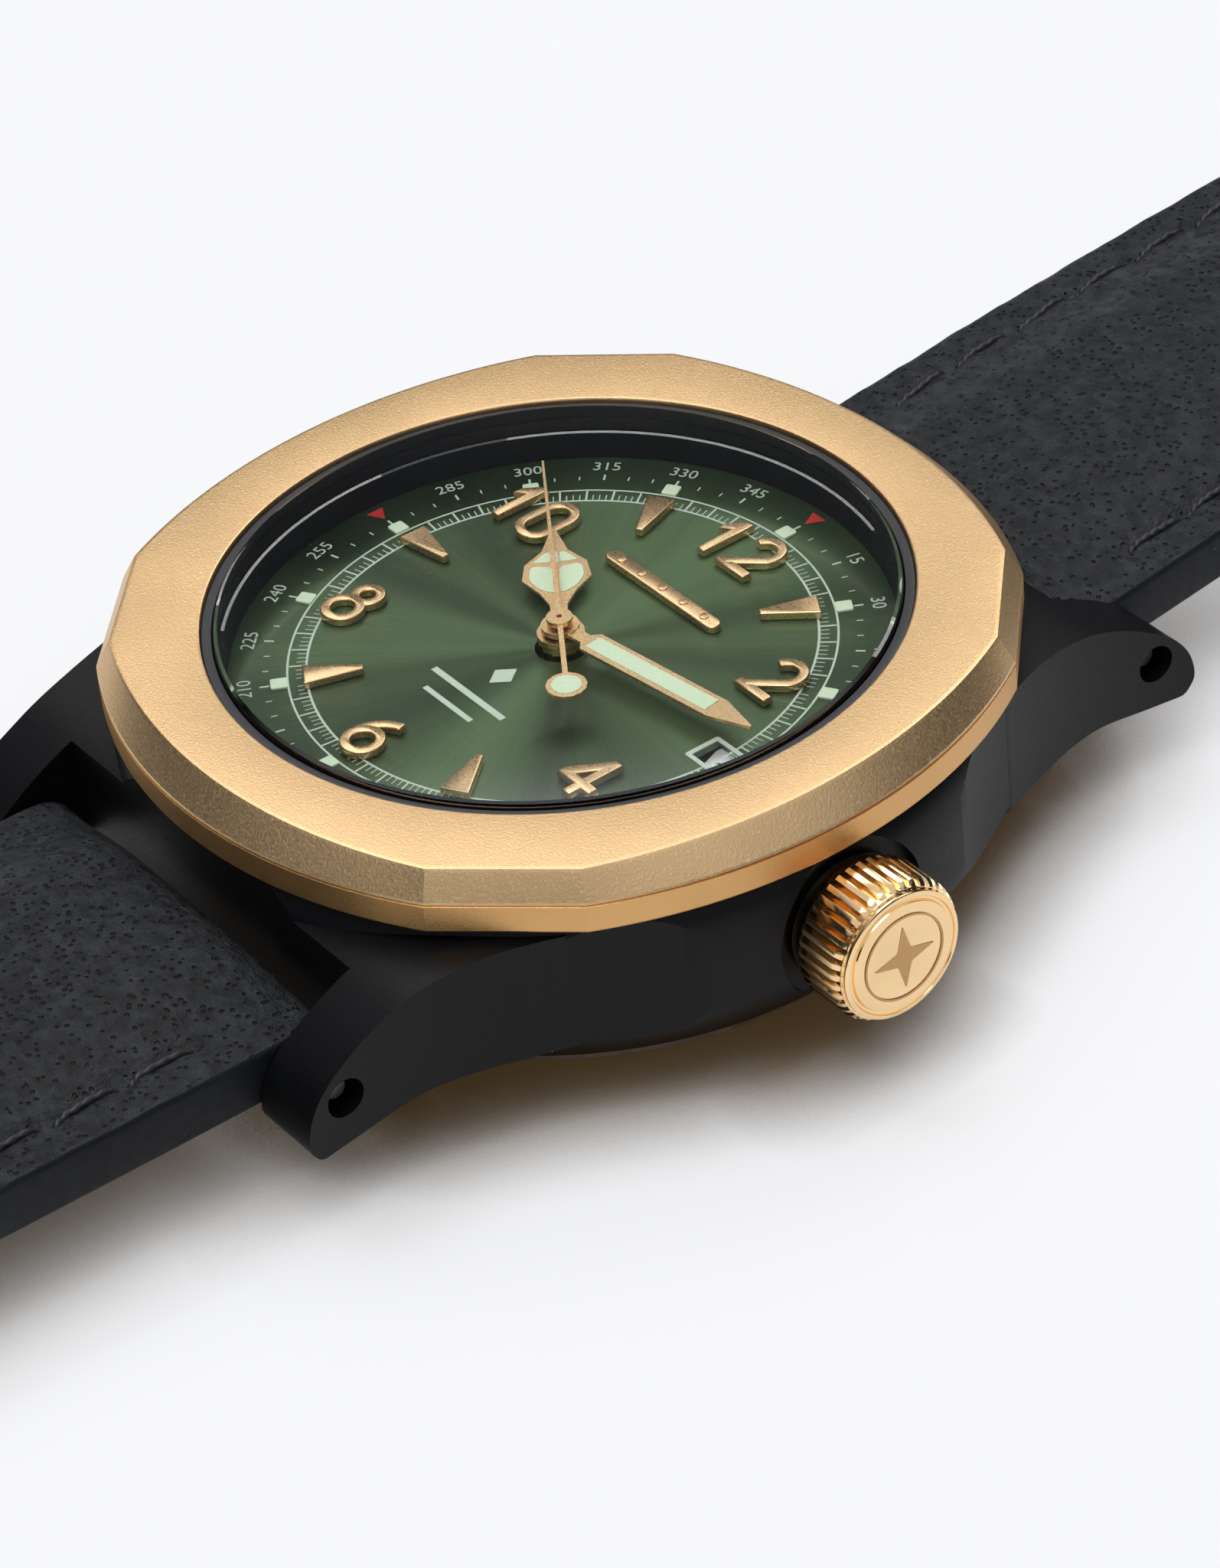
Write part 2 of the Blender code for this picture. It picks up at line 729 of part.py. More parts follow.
def build_dial():
    half_x, half_y = DATE_WINDOW_SIZE[0] / 2, DATE_WINDOW_SIZE[1] / 2
    window = [
        (DATE_WINDOW_CENTRE + sx * half_x, sy * half_y) for sx, sy in ((-1, -1), (1, -1), (1, 1), (-1, 1))
    ]
    outline = circle(DIAL_RADIUS, ROUND)
    plate(
        "dial",
        [outline, circle(DIAL_HOLE), window],
        DIAL_TOP - DIAL_THICKNESS,
        DIAL_TOP,
        "dial_green",
    )


def stroke(points, width, closed=False):
    """The outlines of a band of even width along a line of points: one outline, or two for a closed line."""
    left, right = [], []
    count = len(points)
    for i, (x, y) in enumerate(points):
        before = points[(i - 1) % count] if closed or i > 0 else points[i]
        after = points[(i + 1) % count] if closed or i < count - 1 else points[i]
        dx, dy = after[0] - before[0], after[1] - before[1]
        length = math.hypot(dx, dy)
        nx, ny = -dy / length * width / 2, dx / length * width / 2
        left.append((x + nx, y + ny))
        right.append((x - nx, y - ny))
    return [right, left] if closed else [left + right[::-1]]


def arc(centre, radius, start, end, count):
    """Points on an arc between two angles in degrees."""
    return shifted([polar(radius, start + (end - start) * i / (count - 1)) for i in range(count)], centre)


def digit_outlines(digit):
    """The pieces of a digit one unit tall about its middle: each piece is an outline and its holes."""
    width = NUMERAL_STROKE / DIGIT_UNIT
    half = width / 2
    top = 0.37
    bowl = 0.2
    if digit == 0:
        line = arc((0, 0.15), bowl, 0, 180, 6) + arc((0, -0.15), bowl, 180, 360, 6)
        return [stroke(line, width, closed=True)]
    if digit == 1:
        flag = [(-0.2, 0.16), (-0.05, top), (half, top)]
        return [[flag + [(half, -top), (-half, -top), (-half, 0.15), (-0.2, 0.05)]]]
    if digit == 2:
        line = arc((0, 0.15), bowl, 160, -35, 7) + [(-0.17, -0.3)]
        foot = [(-0.28, -top), (0.25, -top), (0.25, width - top), (-0.28, width - top)]
        return [stroke(line, width), [foot]]
    if digit == 4:
        left, right, bar = 0.01, 0.01 + width, -0.21
        outside = [(left, top), (right, top), (right, bar + width), (0.28, bar + width), (0.28, bar)]
        outside.append((right, bar))
        outside += [(right, -top), (left, -top), (left, bar), (-0.29, bar), (-0.29, bar + width)]
        return [[outside, [(left, 0.13), (-0.12, bar + width), (left, bar + width)]]]
    if digit == 6:
        ring = arc((0, -0.15), bowl, 0, 360, 13)[:-1]
        return [stroke(ring, width, closed=True), stroke(arc((0.24, -0.12), 0.44, 105, 172, 5), width)]
    upper = arc((0, 0.19), 0.15, 0, 360, 11)[:-1]
    lower = arc((0, -0.16), bowl, 0, 360, 13)[:-1]
    return [stroke(lower, width, closed=True), stroke(upper, width, closed=True)]


def applied_digit(name, digit, centre):
    """One raised digit standing on the dial."""
    base = DIAL_TOP + FIT
    pieces = []
    for index, outlines in enumerate(digit_outlines(digit)):
        sized = [shifted([(x * DIGIT_UNIT, y * DIGIT_UNIT) for x, y in line], centre) for line in outlines]
        label = f"{name}_{index}" if index else name
        pieces.append(plate(label, sized, base, base + MARKER_LIFT, "gold_polished"))
    if len(pieces) > 1:
        join(pieces[0], pieces[1])
        settle(pieces[0])


def build_markers():
    for hour in (2, 4, 6, 8):
        place = polar(NUMERAL_RADIUS, dial_angle(30.0 * hour))
        applied_digit(f"numeral_{hour}", hour, place)
    for hour, digits in ((12, (1, 2)), (10, (1, 0))):
        x, y = polar(NUMERAL_RADIUS, dial_angle(30.0 * hour))
        applied_digit(f"numeral_{hour}_tens", digits[0], (x - TENS_OFFSET, y))
        applied_digit(f"numeral_{hour}_units", digits[1], (x + UNITS_OFFSET, y))
    base = DIAL_TOP + FIT
    for hour in (1, 5, 7, 9, 11):
        half = WEDGE_LENGTH / 2
        broad, point = WEDGE_WIDTH / 2, WEDGE_POINT / 2
        tall = [(-half, -point), (half, -broad), (half, broad), (-half, point)]
        angle = dial_angle(30.0 * hour)
        outline = shifted(tall, polar(NUMERAL_RADIUS, angle), angle)
        plate(f"wedge_{hour}", [outline], base, base + MARKER_LIFT, "gold_polished")
    half_x, half_y = EMBLEM_SIZE[0] / 2, EMBLEM_SIZE[1] / 2
    straight = half_x - half_y
    emblem = arc((straight, 0.0), half_y, -90, 90, 5) + arc((-straight, 0.0), half_y, 90, 270, 5)
    plate("emblem_bar", [shifted(emblem, (0.0, EMBLEM_Y))], base, base + MARKER_LIFT, "gold_polished")


def hand_from(name, outline, hub, bore, z, clockwise, material):
    """A flat hand: an outline that points along +X, joined to a round hub and turned to its place."""
    angle = dial_angle(clockwise)
    blade = plate(name, [shifted(outline, (0.0, 0.0), angle)], z, z + HAND_THICKNESS, material)
    join(blade, rod(name + "_hub", hub, z - 0.02, z + HAND_THICKNESS + HUB_PROUD, (0.0, 0.0), material, "Z"))
    cut(blade, rod(name + "_bore", bore, z - 1.0, z + 1.0, (0.0, 0.0), material, "Z", cutter=True))
    return on_axis(settle(blade), (0.0, 0.0, 0.0))


def build_hands():
    tip = HOUR_HAND_LENGTH
    lobe = HOUR_HAND_LOBE
    half_hour = [(0.0, 0.36), (2.0, 0.36), (2.9, 0.75), (3.9, lobe)]
    half_hour += [(5.0, 0.9 * lobe), (5.9, 0.55), (tip, 0.06)]
    hour = half_hour + [(x, -y) for x, y in reversed(half_hour)]
    hand_from("hour_hand", hour, HOUR_HUB, HOUR_BORE, HOUR_HAND_Z, HOUR_ANGLE, "gold_polished")
    half = MINUTE_HAND_WIDTH / 2
    shoulder = MINUTE_HAND_LENGTH - MINUTE_HAND_POINT
    half_minute = [(0.0, 0.3), (1.5, 0.3), (1.8, half), (shoulder, half), (MINUTE_HAND_LENGTH, 0.04)]
    minute = half_minute + [(x, -y) for x, y in reversed(half_minute)]
    hand_from("minute_hand", minute, MINUTE_HUB, MINUTE_BORE, MINUTE_HAND_Z, MINUTE_ANGLE, "gold_polished")
    tip = SECONDS_HAND_LENGTH
    needle = [(0.0, NEEDLE_HALF), (tip, 0.05), (tip, -0.05), (0.0, -NEEDLE_HALF)]
    neck_angle = math.degrees(math.asin(NEEDLE_HALF / COUNTER_RADIUS))
    disc = arc((-COUNTER_REACH, 0.0), COUNTER_RADIUS, -neck_angle, neck_angle - 360.0, 14)
    seconds = needle + disc
    z = SECONDS_HAND_Z
    hand_from("seconds_hand", seconds, SECONDS_HUB, SECONDS_BORE, z, SECONDS_ANGLE, "gold_polished")


# --------------------------------------------------------------------------------------------------
# Movement
# --------------------------------------------------------------------------------------------------

def wheel(name, centre, wheel_outline, low, high, pinion=None, arbor=None, bore=None, material="brass"):
    """A toothed wheel; its pinion is (outline, low, high) and its arbor (radius, low, high), on one axis."""
    made = plate(name, [shifted(wheel_outline, centre)], low, high, material)
    if arbor:
        radius, base, top = arbor
        join(made, rod(name + "_arbor", radius, base, top, centre, material, "Z", 12))
    if pinion:
        outline, base, top = pinion
        join(made, plate(name + "_pinion", [shifted(outline, centre)], base, top, material))
    if bore:
        cut(made, rod(name + "_bore", bore, 0.0, BEZEL_TOP, centre, material, "Z", 12, cutter=True))
    return on_axis(settle(made), (*centre, 0.0))


def build_plates():
    stem_slot_top = CROWN_Z + CLUTCH_RADIUS + RUNNING
    centre_hole = circle(CENTRE_HOLE)
    main = plate("main_plate", [circle(PLATE_RADIUS, ROUND), centre_hole], PLATE_BOTTOM, PLATE_TOP, "plate")
    slot_length = PLATE_RADIUS - STEM_START + 2.0
    slot_width = 2 * CLUTCH_RADIUS + 0.8
    slot_height = stem_slot_top - PLATE_BOTTOM + 1.0
    slot_middle = (STEM_START - 0.6 + slot_length / 2, 0.0, stem_slot_top - slot_height / 2)
    cut(main, block("stem_slot", (slot_length, slot_width, slot_height), slot_middle, "plate", cutter=True))
    settle(main)
    low, high, outer = BRIDGE_BOTTOM, DIAL_TOP - DIAL_THICKNESS - FIT, CASE_BORE - FIT
    profile = [(RING_INNER, high), (outer, high), (outer, low), (RING_INNER, low)]
    holder = turned("movement_ring", profile, "plastic")
    at = (0.0, CROWN_Z)
    hole = STEM_RADIUS + 0.5
    cut(holder, rod("ring_hole", hole, RING_INNER - 1.0, CASE_BORE + 1.0, at, "plastic", cutter=True))
    settle(holder)
    balance = polar(BALANCE_DISTANCE, ESCAPE_ANGLE)
    outlines = [circle(PLATE_RADIUS, ROUND), circle(BRIDGE_HOLE)]
    bridge = plate("train_bridge", outlines, BRIDGE_BOTTOM, BRIDGE_TOP, "plate")
    bay = BALANCE_RADIUS + 0.9
    cut(bridge, rod("balance_bay", bay, 0.0, BEZEL_TOP, balance, "plate", "Z", 32, cutter=True))
    settle(bridge)
    cock_half, foot_from, foot_to = 1.2, BALANCE_RADIUS + 0.2, BALANCE_RADIUS + 0.75
    arm = [(-1.3, -cock_half), (foot_to, -cock_half), (foot_to, cock_half), (-1.3, cock_half)]
    cock = plate("balance_cock", [shifted(arm, balance, ESCAPE_ANGLE)], BRIDGE_BOTTOM, BRIDGE_TOP, "plate")
    inner_half = cock_half - 0.2
    foot = [(foot_from, -inner_half), (foot_to, -cock_half), (foot_to, cock_half), (foot_from, inner_half)]
    foot_plan = shifted(foot, balance, ESCAPE_ANGLE)
    join(cock, plate("cock_foot", [foot_plan], BRIDGE_TOP - 0.3, PLATE_BOTTOM - FIT, "plate"))
    settle(cock)


def build_train():
    centre = (0.0, 0.0)
    third_at = polar(CENTRE_DISTANCE, THIRD_ANGLE)
    centre_radius = CENTRE_DISTANCE * CENTRE_TEETH / (CENTRE_TEETH + THIRD_PINION_TEETH)
    third_radius = CENTRE_DISTANCE * THIRD_TEETH / (THIRD_TEETH + FOURTH_PINION_TEETH)
    barrel_radius = BARREL_DISTANCE * BARREL_TEETH / (BARREL_TEETH + CENTRE_PINION_TEETH)
    escape_pinion_radius = FOURTH_RADIUS * ESCAPE_PINION_TEETH / FOURTH_TEETH
    escape_distance = FOURTH_RADIUS + escape_pinion_radius
    depth = 0.2

    # A peak of each driver points at a valley of the piece it drives.
    def driver(count, radius, towards):
        return teeth(count, radius, depth, towards)

    def driven(count, radius, towards):
        return teeth(count, radius, depth, towards + 180.0 + 180.0 / count)

    barrel_at = polar(BARREL_DISTANCE, BARREL_ANGLE)
    pinion_phase = BARREL_ANGLE + 180.0 / CENTRE_PINION_TEETH
    centre_pinion = teeth(CENTRE_PINION_TEETH, BARREL_DISTANCE - barrel_radius, depth, pinion_phase)
    wheel(
        "center_wheel",
        centre,
        driver(CENTRE_TEETH, centre_radius, THIRD_ANGLE),
        CENTRE_LEVEL,
        CENTRE_LEVEL + WHEEL_THICKNESS,
        pinion=(centre_pinion, CENTRE_LEVEL - 0.55, CENTRE_LEVEL),
        arbor=(0.5, CENTRE_LEVEL - 0.75, PLATE_TOP + 0.02),
        bore=MINUTE_BORE,
    )
    third_pinion = driven(THIRD_PINION_TEETH, CENTRE_DISTANCE - centre_radius, THIRD_ANGLE)
    wheel(
        "third_wheel",
        third_at,
        driver(THIRD_TEETH, third_radius, THIRD_ANGLE + 180.0),
        THIRD_LEVEL,
        THIRD_LEVEL + 0.17,
        pinion=(third_pinion, CENTRE_LEVEL - WHEEL_THICKNESS, CENTRE_LEVEL + 0.3),
        arbor=(ARBOR_RADIUS, ARBOR_BOTTOM, ARBOR_TOP),
    )
    fourth_pinion = driven(FOURTH_PINION_TEETH, CENTRE_DISTANCE - third_radius, THIRD_ANGLE + 180.0)
    wheel(
        "fourth_wheel",
        centre,
        driver(FOURTH_TEETH, FOURTH_RADIUS, ESCAPE_ANGLE),
        FOURTH_LEVEL,
        FOURTH_LEVEL + 0.15,
        pinion=(fourth_pinion, THIRD_LEVEL - 0.15, THIRD_LEVEL + 0.25),
        arbor=(SECONDS_ARBOR, ARBOR_BOTTOM, SECONDS_HAND_Z - POST_SHORT),
    )
    escape_at = polar(escape_distance, ESCAPE_ANGLE)
    escape_pinion = driven(ESCAPE_PINION_TEETH, escape_pinion_radius, ESCAPE_ANGLE)
    points = []
    pitch = 360.0 / ESCAPE_TEETH
    for i in range(ESCAPE_TEETH):
        points += [polar(ESCAPE_RADIUS, pitch * i), polar(ESCAPE_RADIUS - 0.5, pitch * (i + 0.35))]
    wheel(
        "escape_wheel",
        escape_at,
        points,
        ESCAPE_LEVEL,
        ESCAPE_LEVEL + 0.12,
        pinion=(escape_pinion, FOURTH_LEVEL - 0.03, FOURTH_LEVEL + 0.35),
        arbor=(ARBOR_RADIUS, ARBOR_BOTTOM, ARBOR_TOP),
        material="steel",
    )
    drum_radius = barrel_radius - 0.6
    drum = turned(
        "barrel",
        [(0.0, DRUM_TOP), (drum_radius, DRUM_TOP), (drum_radius, DRUM_BOTTOM), (0.0, DRUM_BOTTOM)],
        "brass",
        centre=barrel_at,
    )
    barrel_rim = shifted(driven(BARREL_TEETH, barrel_radius, BARREL_ANGLE), barrel_at)
    join(drum, plate("barrel_teeth", [barrel_rim], DRUM_TOP - 0.15, DRUM_TOP + 0.1, "brass"))
    join(drum, rod("barrel_arbor", 0.6, ARBOR_BOTTOM, ARBOR_TOP, barrel_at, "brass", "Z", 12))
    on_axis(settle(drum), (*barrel_at, 0.0))


def build_escapement():
    escape_distance = FOURTH_RADIUS * (1 + ESCAPE_PINION_TEETH / FOURTH_TEETH)
    fork_at = polar(escape_distance + PALLET_DISTANCE, ESCAPE_ANGLE)
    arms = [(-0.15, 0.22), (-0.3, 1.5), (-0.62, 1.55), (-0.62, 1.2), (-0.35, 0.25)]
    nose = BALANCE_DISTANCE - escape_distance - PALLET_DISTANCE - 0.45
    lever = [(nose, -0.15), (nose, 0.15), (0.2, 0.2)]
    outline = lever + arms + [(x, -y) for x, y in reversed(arms)] + [(0.2, -0.2)]
    level = ESCAPE_LEVEL - 0.03
    outline = shifted(outline, fork_at, ESCAPE_ANGLE)
    made = plate("pallet_fork", [outline], level, level + HAND_THICKNESS, "steel")
    join(made, rod("pallet_arbor", 0.13, 4.5, ARBOR_TOP, fork_at, "steel", "Z", 12))
    on_axis(settle(made), (*fork_at, 0.0))

    balance_at = polar(BALANCE_DISTANCE, ESCAPE_ANGLE)
    rim = circle(BALANCE_RADIUS, 40, balance_at)
    inner = circle(BALANCE_RADIUS - 0.45, 40, balance_at)
    made = plate("balance_wheel", [rim, inner], BALANCE_LEVEL, BALANCE_LEVEL + 0.22, "brass")
    arm_at = (*balance_at, BALANCE_LEVEL + 0.14)
    join(made, block("balance_arm", (2 * BALANCE_RADIUS - 0.5, 0.5, 0.16), arm_at, "brass"))
    join(made, rod("balance_staff", 0.16, ARBOR_BOTTOM, ARBOR_TOP, balance_at, "brass", "Z", 12))
    on_axis(settle(made), (*balance_at, 0.0))

    turns, per_turn, first, last = 5, 14, 0.45, 2.2
    line = []
    for i in range(turns * per_turn + 1):
        radius = first + (last - first) * i / (turns * per_turn)
        line.append(polar(radius, 360.0 * i / per_turn))
    coil = stroke(line, 0.06)
    made = plate("hairspring", [shifted(coil[0], balance_at)], SPRING_LEVEL, SPRING_LEVEL + 0.15, "steel")
    on_axis(made, (*balance_at, 0.0))


def build_motion_work():
    centre = (0.0, 0.0)
    minute_at = polar(MOTION_DISTANCE, MINUTE_WHEEL_ANGLE)
    cannon_radius = MOTION_DISTANCE * CANNON_TEETH / (CANNON_TEETH + MINUTE_WHEEL_TEETH)
    minute_pinion_radius = MOTION_DISTANCE * MINUTE_PINION_TEETH / (MINUTE_PINION_TEETH + HOUR_WHEEL_TEETH)
    depth = 0.16
    low = PLATE_TOP + FIT
    cannon = teeth(CANNON_TEETH, cannon_radius, depth, MINUTE_WHEEL_ANGLE)
    wheel(
        "cannon_pinion",
        centre,
        cannon,
        low,
        low + 0.2,
        arbor=(0.56, low, MINUTE_HAND_Z - POST_SHORT),
        bore=MINUTE_BORE,
        material="steel",
    )
    facing = MINUTE_WHEEL_ANGLE + 180.0
    minute_phase = facing + 180.0 / MINUTE_WHEEL_TEETH
    minute_teeth = teeth(MINUTE_WHEEL_TEETH, MOTION_DISTANCE - cannon_radius, depth, minute_phase)
    minute_pinion = teeth(MINUTE_PINION_TEETH, minute_pinion_radius, depth, facing)
    wheel("minute_wheel", minute_at, minute_teeth, low, low + 0.15, pinion=(minute_pinion, low, low + 0.7))
    hour_radius = MOTION_DISTANCE - minute_pinion_radius
    hour_teeth = teeth(HOUR_WHEEL_TEETH, hour_radius, depth, MINUTE_WHEEL_ANGLE + 180.0 / HOUR_WHEEL_TEETH)
    wheel(
        "hour_wheel",
        centre,
        hour_teeth,
        low + 0.35,
        low + 0.5,
        arbor=(0.95, low + 0.35, HOUR_HAND_Z - POST_SHORT),
        bore=0.68,
    )
    ring_outline = teeth(DATE_RING_TEETH, DATE_RING_INNER + 0.15, 0.3)
    outer = circle(DATE_RING_OUTER, ROUND)
    made = plate("date_ring", [outer, ring_outline], low + 0.1, low + 0.4, "date_white")
    on_axis(made, (0.0, 0.0, 0.0))


def build_rotor():
    middle = (0.0, 0.0)
    half, heavy_half = ROTOR_HALF_ANGLE, ROTOR_HALF_ANGLE - 4.0
    weight = arc(middle, ROTOR_RADIUS, -half, half, 19)
    hub = arc(middle, ROTOR_HUB + 1.1, half, 360.0 - half, 11)
    made = plate("rotor", [shifted(weight + hub, middle, ROTOR_REST)], ROTOR_WEB[0], ROTOR_WEB[1], "steel")
    heavy = arc(middle, ROTOR_RADIUS, -heavy_half, heavy_half, 19)
    heavy += arc(middle, ROTOR_RADIUS - ROTOR_RIM, heavy_half, -heavy_half, 15)
    heavy = shifted(heavy, middle, ROTOR_REST)
    join(made, plate("rotor_weight", [heavy], ROTOR_WEB[0] - 0.85, ROTOR_WEB[0] + 0.1, "steel"))
    cut(made, rod("rotor_bore", ROTOR_HUB, 0.0, BEZEL_TOP, (0.0, 0.0), "steel", "Z", 24, cutter=True))
    on_axis(settle(made), (0.0, 0.0, 0.0))
    rim, flange = ROTOR_HUB - RUNNING, ROTOR_WEB[1] + 0.2
    low, high = ROTOR_WEB[0] - 0.7, BRIDGE_BOTTOM - FIT
    turned(
        "rotor_bearing",
        [(0.0, low), (rim, low), (rim, flange), (rim + 0.6, flange), (rim + 0.6, high), (0.0, high)],
        "steel",
        steps=24,
    )


# --------------------------------------------------------------------------------------------------
# Crown and stem
# --------------------------------------------------------------------------------------------------

def build_crown():
    at = (0.0, CROWN_Z)
    axis_point = (0.0, 0.0, CROWN_Z)
    knurl = []
    pitch = 360.0 / CROWN_TEETH
    for i in range(CROWN_TEETH):
        knurl.append(polar(CROWN_RADIUS, pitch * (i - 0.22)))
        knurl.append(polar(CROWN_RADIUS, pitch * (i + 0.22)))
        knurl.append(polar(CROWN_RADIUS - CROWN_NOTCH, pitch * (i + 0.5)))
    rim_end = CROWN_OUTER_END - 0.25
    teeth_start = CROWN_INNER_END + CROWN_COLLAR
    crown = plate("crown", [shifted(knurl, at)], teeth_start, rim_end, "gold_polished", axis="X")
    collar_radius = CROWN_FACE_RADIUS + FIT
    join(crown, rod("crown_collar", collar_radius, CROWN_INNER_END, rim_end, at, "gold_polished", sides=32))
    face_base = rim_end - 0.5
    face = turned(
        "crown_face",
        [
            (0.0, CROWN_OUTER_END),
            (CROWN_FACE_RADIUS - 0.6, CROWN_OUTER_END - 0.05),
            (CROWN_FACE_RADIUS, CROWN_OUTER_END - 0.18),
            (CROWN_FACE_RADIUS, face_base),
            (0.0, face_base),
        ],
        "gold_polished",
        steps=32,
        axis="X",
        centre=at,
    )
    join(crown, face)
    bore_end = CROWN_INNER_END + CROWN_BORE_DEPTH
    cut(crown, rod("crown_bore", CROWN_BORE, CROWN_INNER_END - 1.0, bore_end, at, "gold_polished", cutter=True))
    on_axis(settle(crown), axis_point)
    gasket = rod("crown_gasket", CROWN_BORE - FIT, CROWN_INNER_END + 0.5, CROWN_INNER_END + 1.0, at, "rubber")
    hole = TUBE_OUTER + FIT
    cut(gasket, rod("gasket_bore", hole, CROWN_INNER_END, bore_end + 1.0, at, "rubber", cutter=True))
    on_axis(settle(gasket), axis_point)
    tube = rod("crown_tube", TUBE_OUTER, TUBE_START, TUBE_END, at, "steel")
    cut(tube, rod("tube_bore", TUBE_INNER, TUBE_START - 1.0, TUBE_END + 1.0, at, "steel", cutter=True))
    settle(tube)
    on_axis(rod("stem", STEM_RADIUS, STEM_START, bore_end - FIT, at, "steel", sides=12), axis_point)
    clutch = plate(
        "clutch_wheel",
        [shifted(teeth(12, CLUTCH_RADIUS, 0.08), at), circle(STEM_RADIUS + FIT, 12, at)],
        CLUTCH_SPAN[0],
        CLUTCH_SPAN[1],
        "steel",
        axis="X",
    )
    on_axis(clutch, axis_point)
    lever_at = STEM_START + LEVER_FROM_STEM
    slot_wall = CLUTCH_RADIUS + 0.4 - RUNNING
    block("setting_lever", (0.5, slot_wall * 2, 0.12), (lever_at, 0.0, CROWN_Z - STEM_RADIUS - 0.14), "steel")


# --------------------------------------------------------------------------------------------------
# Strap, buckle and keepers
# --------------------------------------------------------------------------------------------------

def strap_thickness(distance):
    """Full pad beside the lugs, thinning along the strap."""
    start, end = THINNING
    return STRAP_PAD + (STRAP_THIN - STRAP_PAD) * smooth((distance - start) / (end - start))


def long_height(distance):
    start, end = LONG_FALL
    return BAR_Z + (LONG_LAND - BAR_Z) * smooth((distance - start) / (end - start))


def short_height(distance):
    start, end = SHORT_FALL
    carried = BAR_Z + SHORT_RISE * distance - SHORT_BEND * distance * distance
    return carried + (SHORT_LAND - carried) * smooth((distance - start) / (end - start))


def slope_of(height, distance):
    return math.degrees(math.atan(height(distance + 0.5) - height(distance - 0.5)))


def strap_half(name, side, length, height, end_radius):
    """One strap half: its side outline given the strap's width, then tapered in plan."""
    first, last = 2.4, length - (end_radius + 1.0 if end_radius else 0.0)
    stations = [first + (last - first) * i / 22 for i in range(23)]
    top = [(side * (BAR_Y + d), height(d) + strap_thickness(d) / 2) for d in stations]
    bottom = [(side * (BAR_Y + d), height(d) - strap_thickness(d) / 2) for d in reversed(stations)]
    near = [(side * y, z) for y, z in arc((BAR_Y, BAR_Z), STRAP_END_RADIUS, 255.0, 105.0, 7)]
    far = []
    if end_radius:
        far = [(side * y, z) for y, z in arc((BAR_Y + length, height(length)), end_radius, 75.0, -75.0, 7)]
    half = STRAP_WIDTH / 2
    strap = plate(name, [top + far + bottom + near], -half, half, "leather_black", axis="X")
    narrow = STRAP_END_WIDTH / 2
    taper_from = BAR_Y + TAPER_START
    end = BAR_Y + length
    if end_radius:
        tip = [(narrow, side * (end + 3.0)), (-narrow, side * (end + 3.0))]
    else:
        tip = [(x, side * y) for x, y in arc((0.0, end - narrow), narrow, 0.0, 180.0, 13)]
    plan = [(half + 1.0, side * (BAR_Y - 4.0)), (half + 0.05, side * taper_from)] + tip
    plan += [(-half - 0.05, side * taper_from), (-half - 1.0, side * (BAR_Y - 4.0))]
    cut_to = plate(name + "_plan", [plan], -5.0, BEZEL_TOP + 8.0, "leather_black", cutter=True)
    combine(strap, cut_to, "INTERSECT")
    bar = (side * BAR_Y, BAR_Z)
    cut(strap, rod(name + "_tunnel", STRAP_TUNNEL, -half - 1, half + 1, bar, "leather_black", cutter=True))
    return strap


def build_straps():
    long_half = strap_half("strap_6", -1, LONG_STRAP, long_height, None)
    for i in range(STRAP_HOLES):
        distance = FIRST_HOLE + HOLE_PITCH * i
        at = (0.0, -(BAR_Y + distance))
        top = LONG_LAND + 4.0
        hole = rod("strap_hole", STRAP_HOLE_RADIUS, -2.0, top, at, "leather_black", "Z", 12, cutter=True)
        cut(long_half, hole)
    on_axis(settle(long_half), (0.0, -BAR_Y, BAR_Z))

    short_half = strap_half("strap_12", 1, SHORT_STRAP, short_height, BUCKLE_END_RADIUS)
    bar = (BAR_Y + SHORT_STRAP, short_height(SHORT_STRAP))
    reach = STRAP_END_WIDTH
    tunnel_radius = BUCKLE_BAR_RADIUS + 2 * RUNNING
    cut(short_half, rod("buckle_tunnel", tunnel_radius, -reach, reach, bar, "leather_black", cutter=True))
    slot_size = (TONGUE_WIDTH + 1.0, TONGUE_SLOT, BUCKLE_THICKNESS * 2)
    cut(short_half, block("tongue_slot", slot_size, (0.0, bar[0] + 0.4, bar[1]), "leather_black", cutter=True))
    on_axis(settle(short_half), (0.0, BAR_Y, BAR_Z))

    for side, name in ((1, "spring_bar_12"), (-1, "spring_bar_6")):
        shoulder = LUG_WIDTH / 2 - RUNNING
        tip = LUG_OUTER_HALF - 1.2
        profile = [(0.0, tip), (SPRING_BAR_TIP, tip)]
        profile += [(SPRING_BAR_TIP, shoulder), (SPRING_BAR_RADIUS, shoulder)]
        mirrored = [(radius, -x) for radius, x in reversed(profile)]
        turned(name, profile + mirrored, "steel", steps=SMALL_ROUND, axis="X", centre=(side * BAR_Y, BAR_Z))


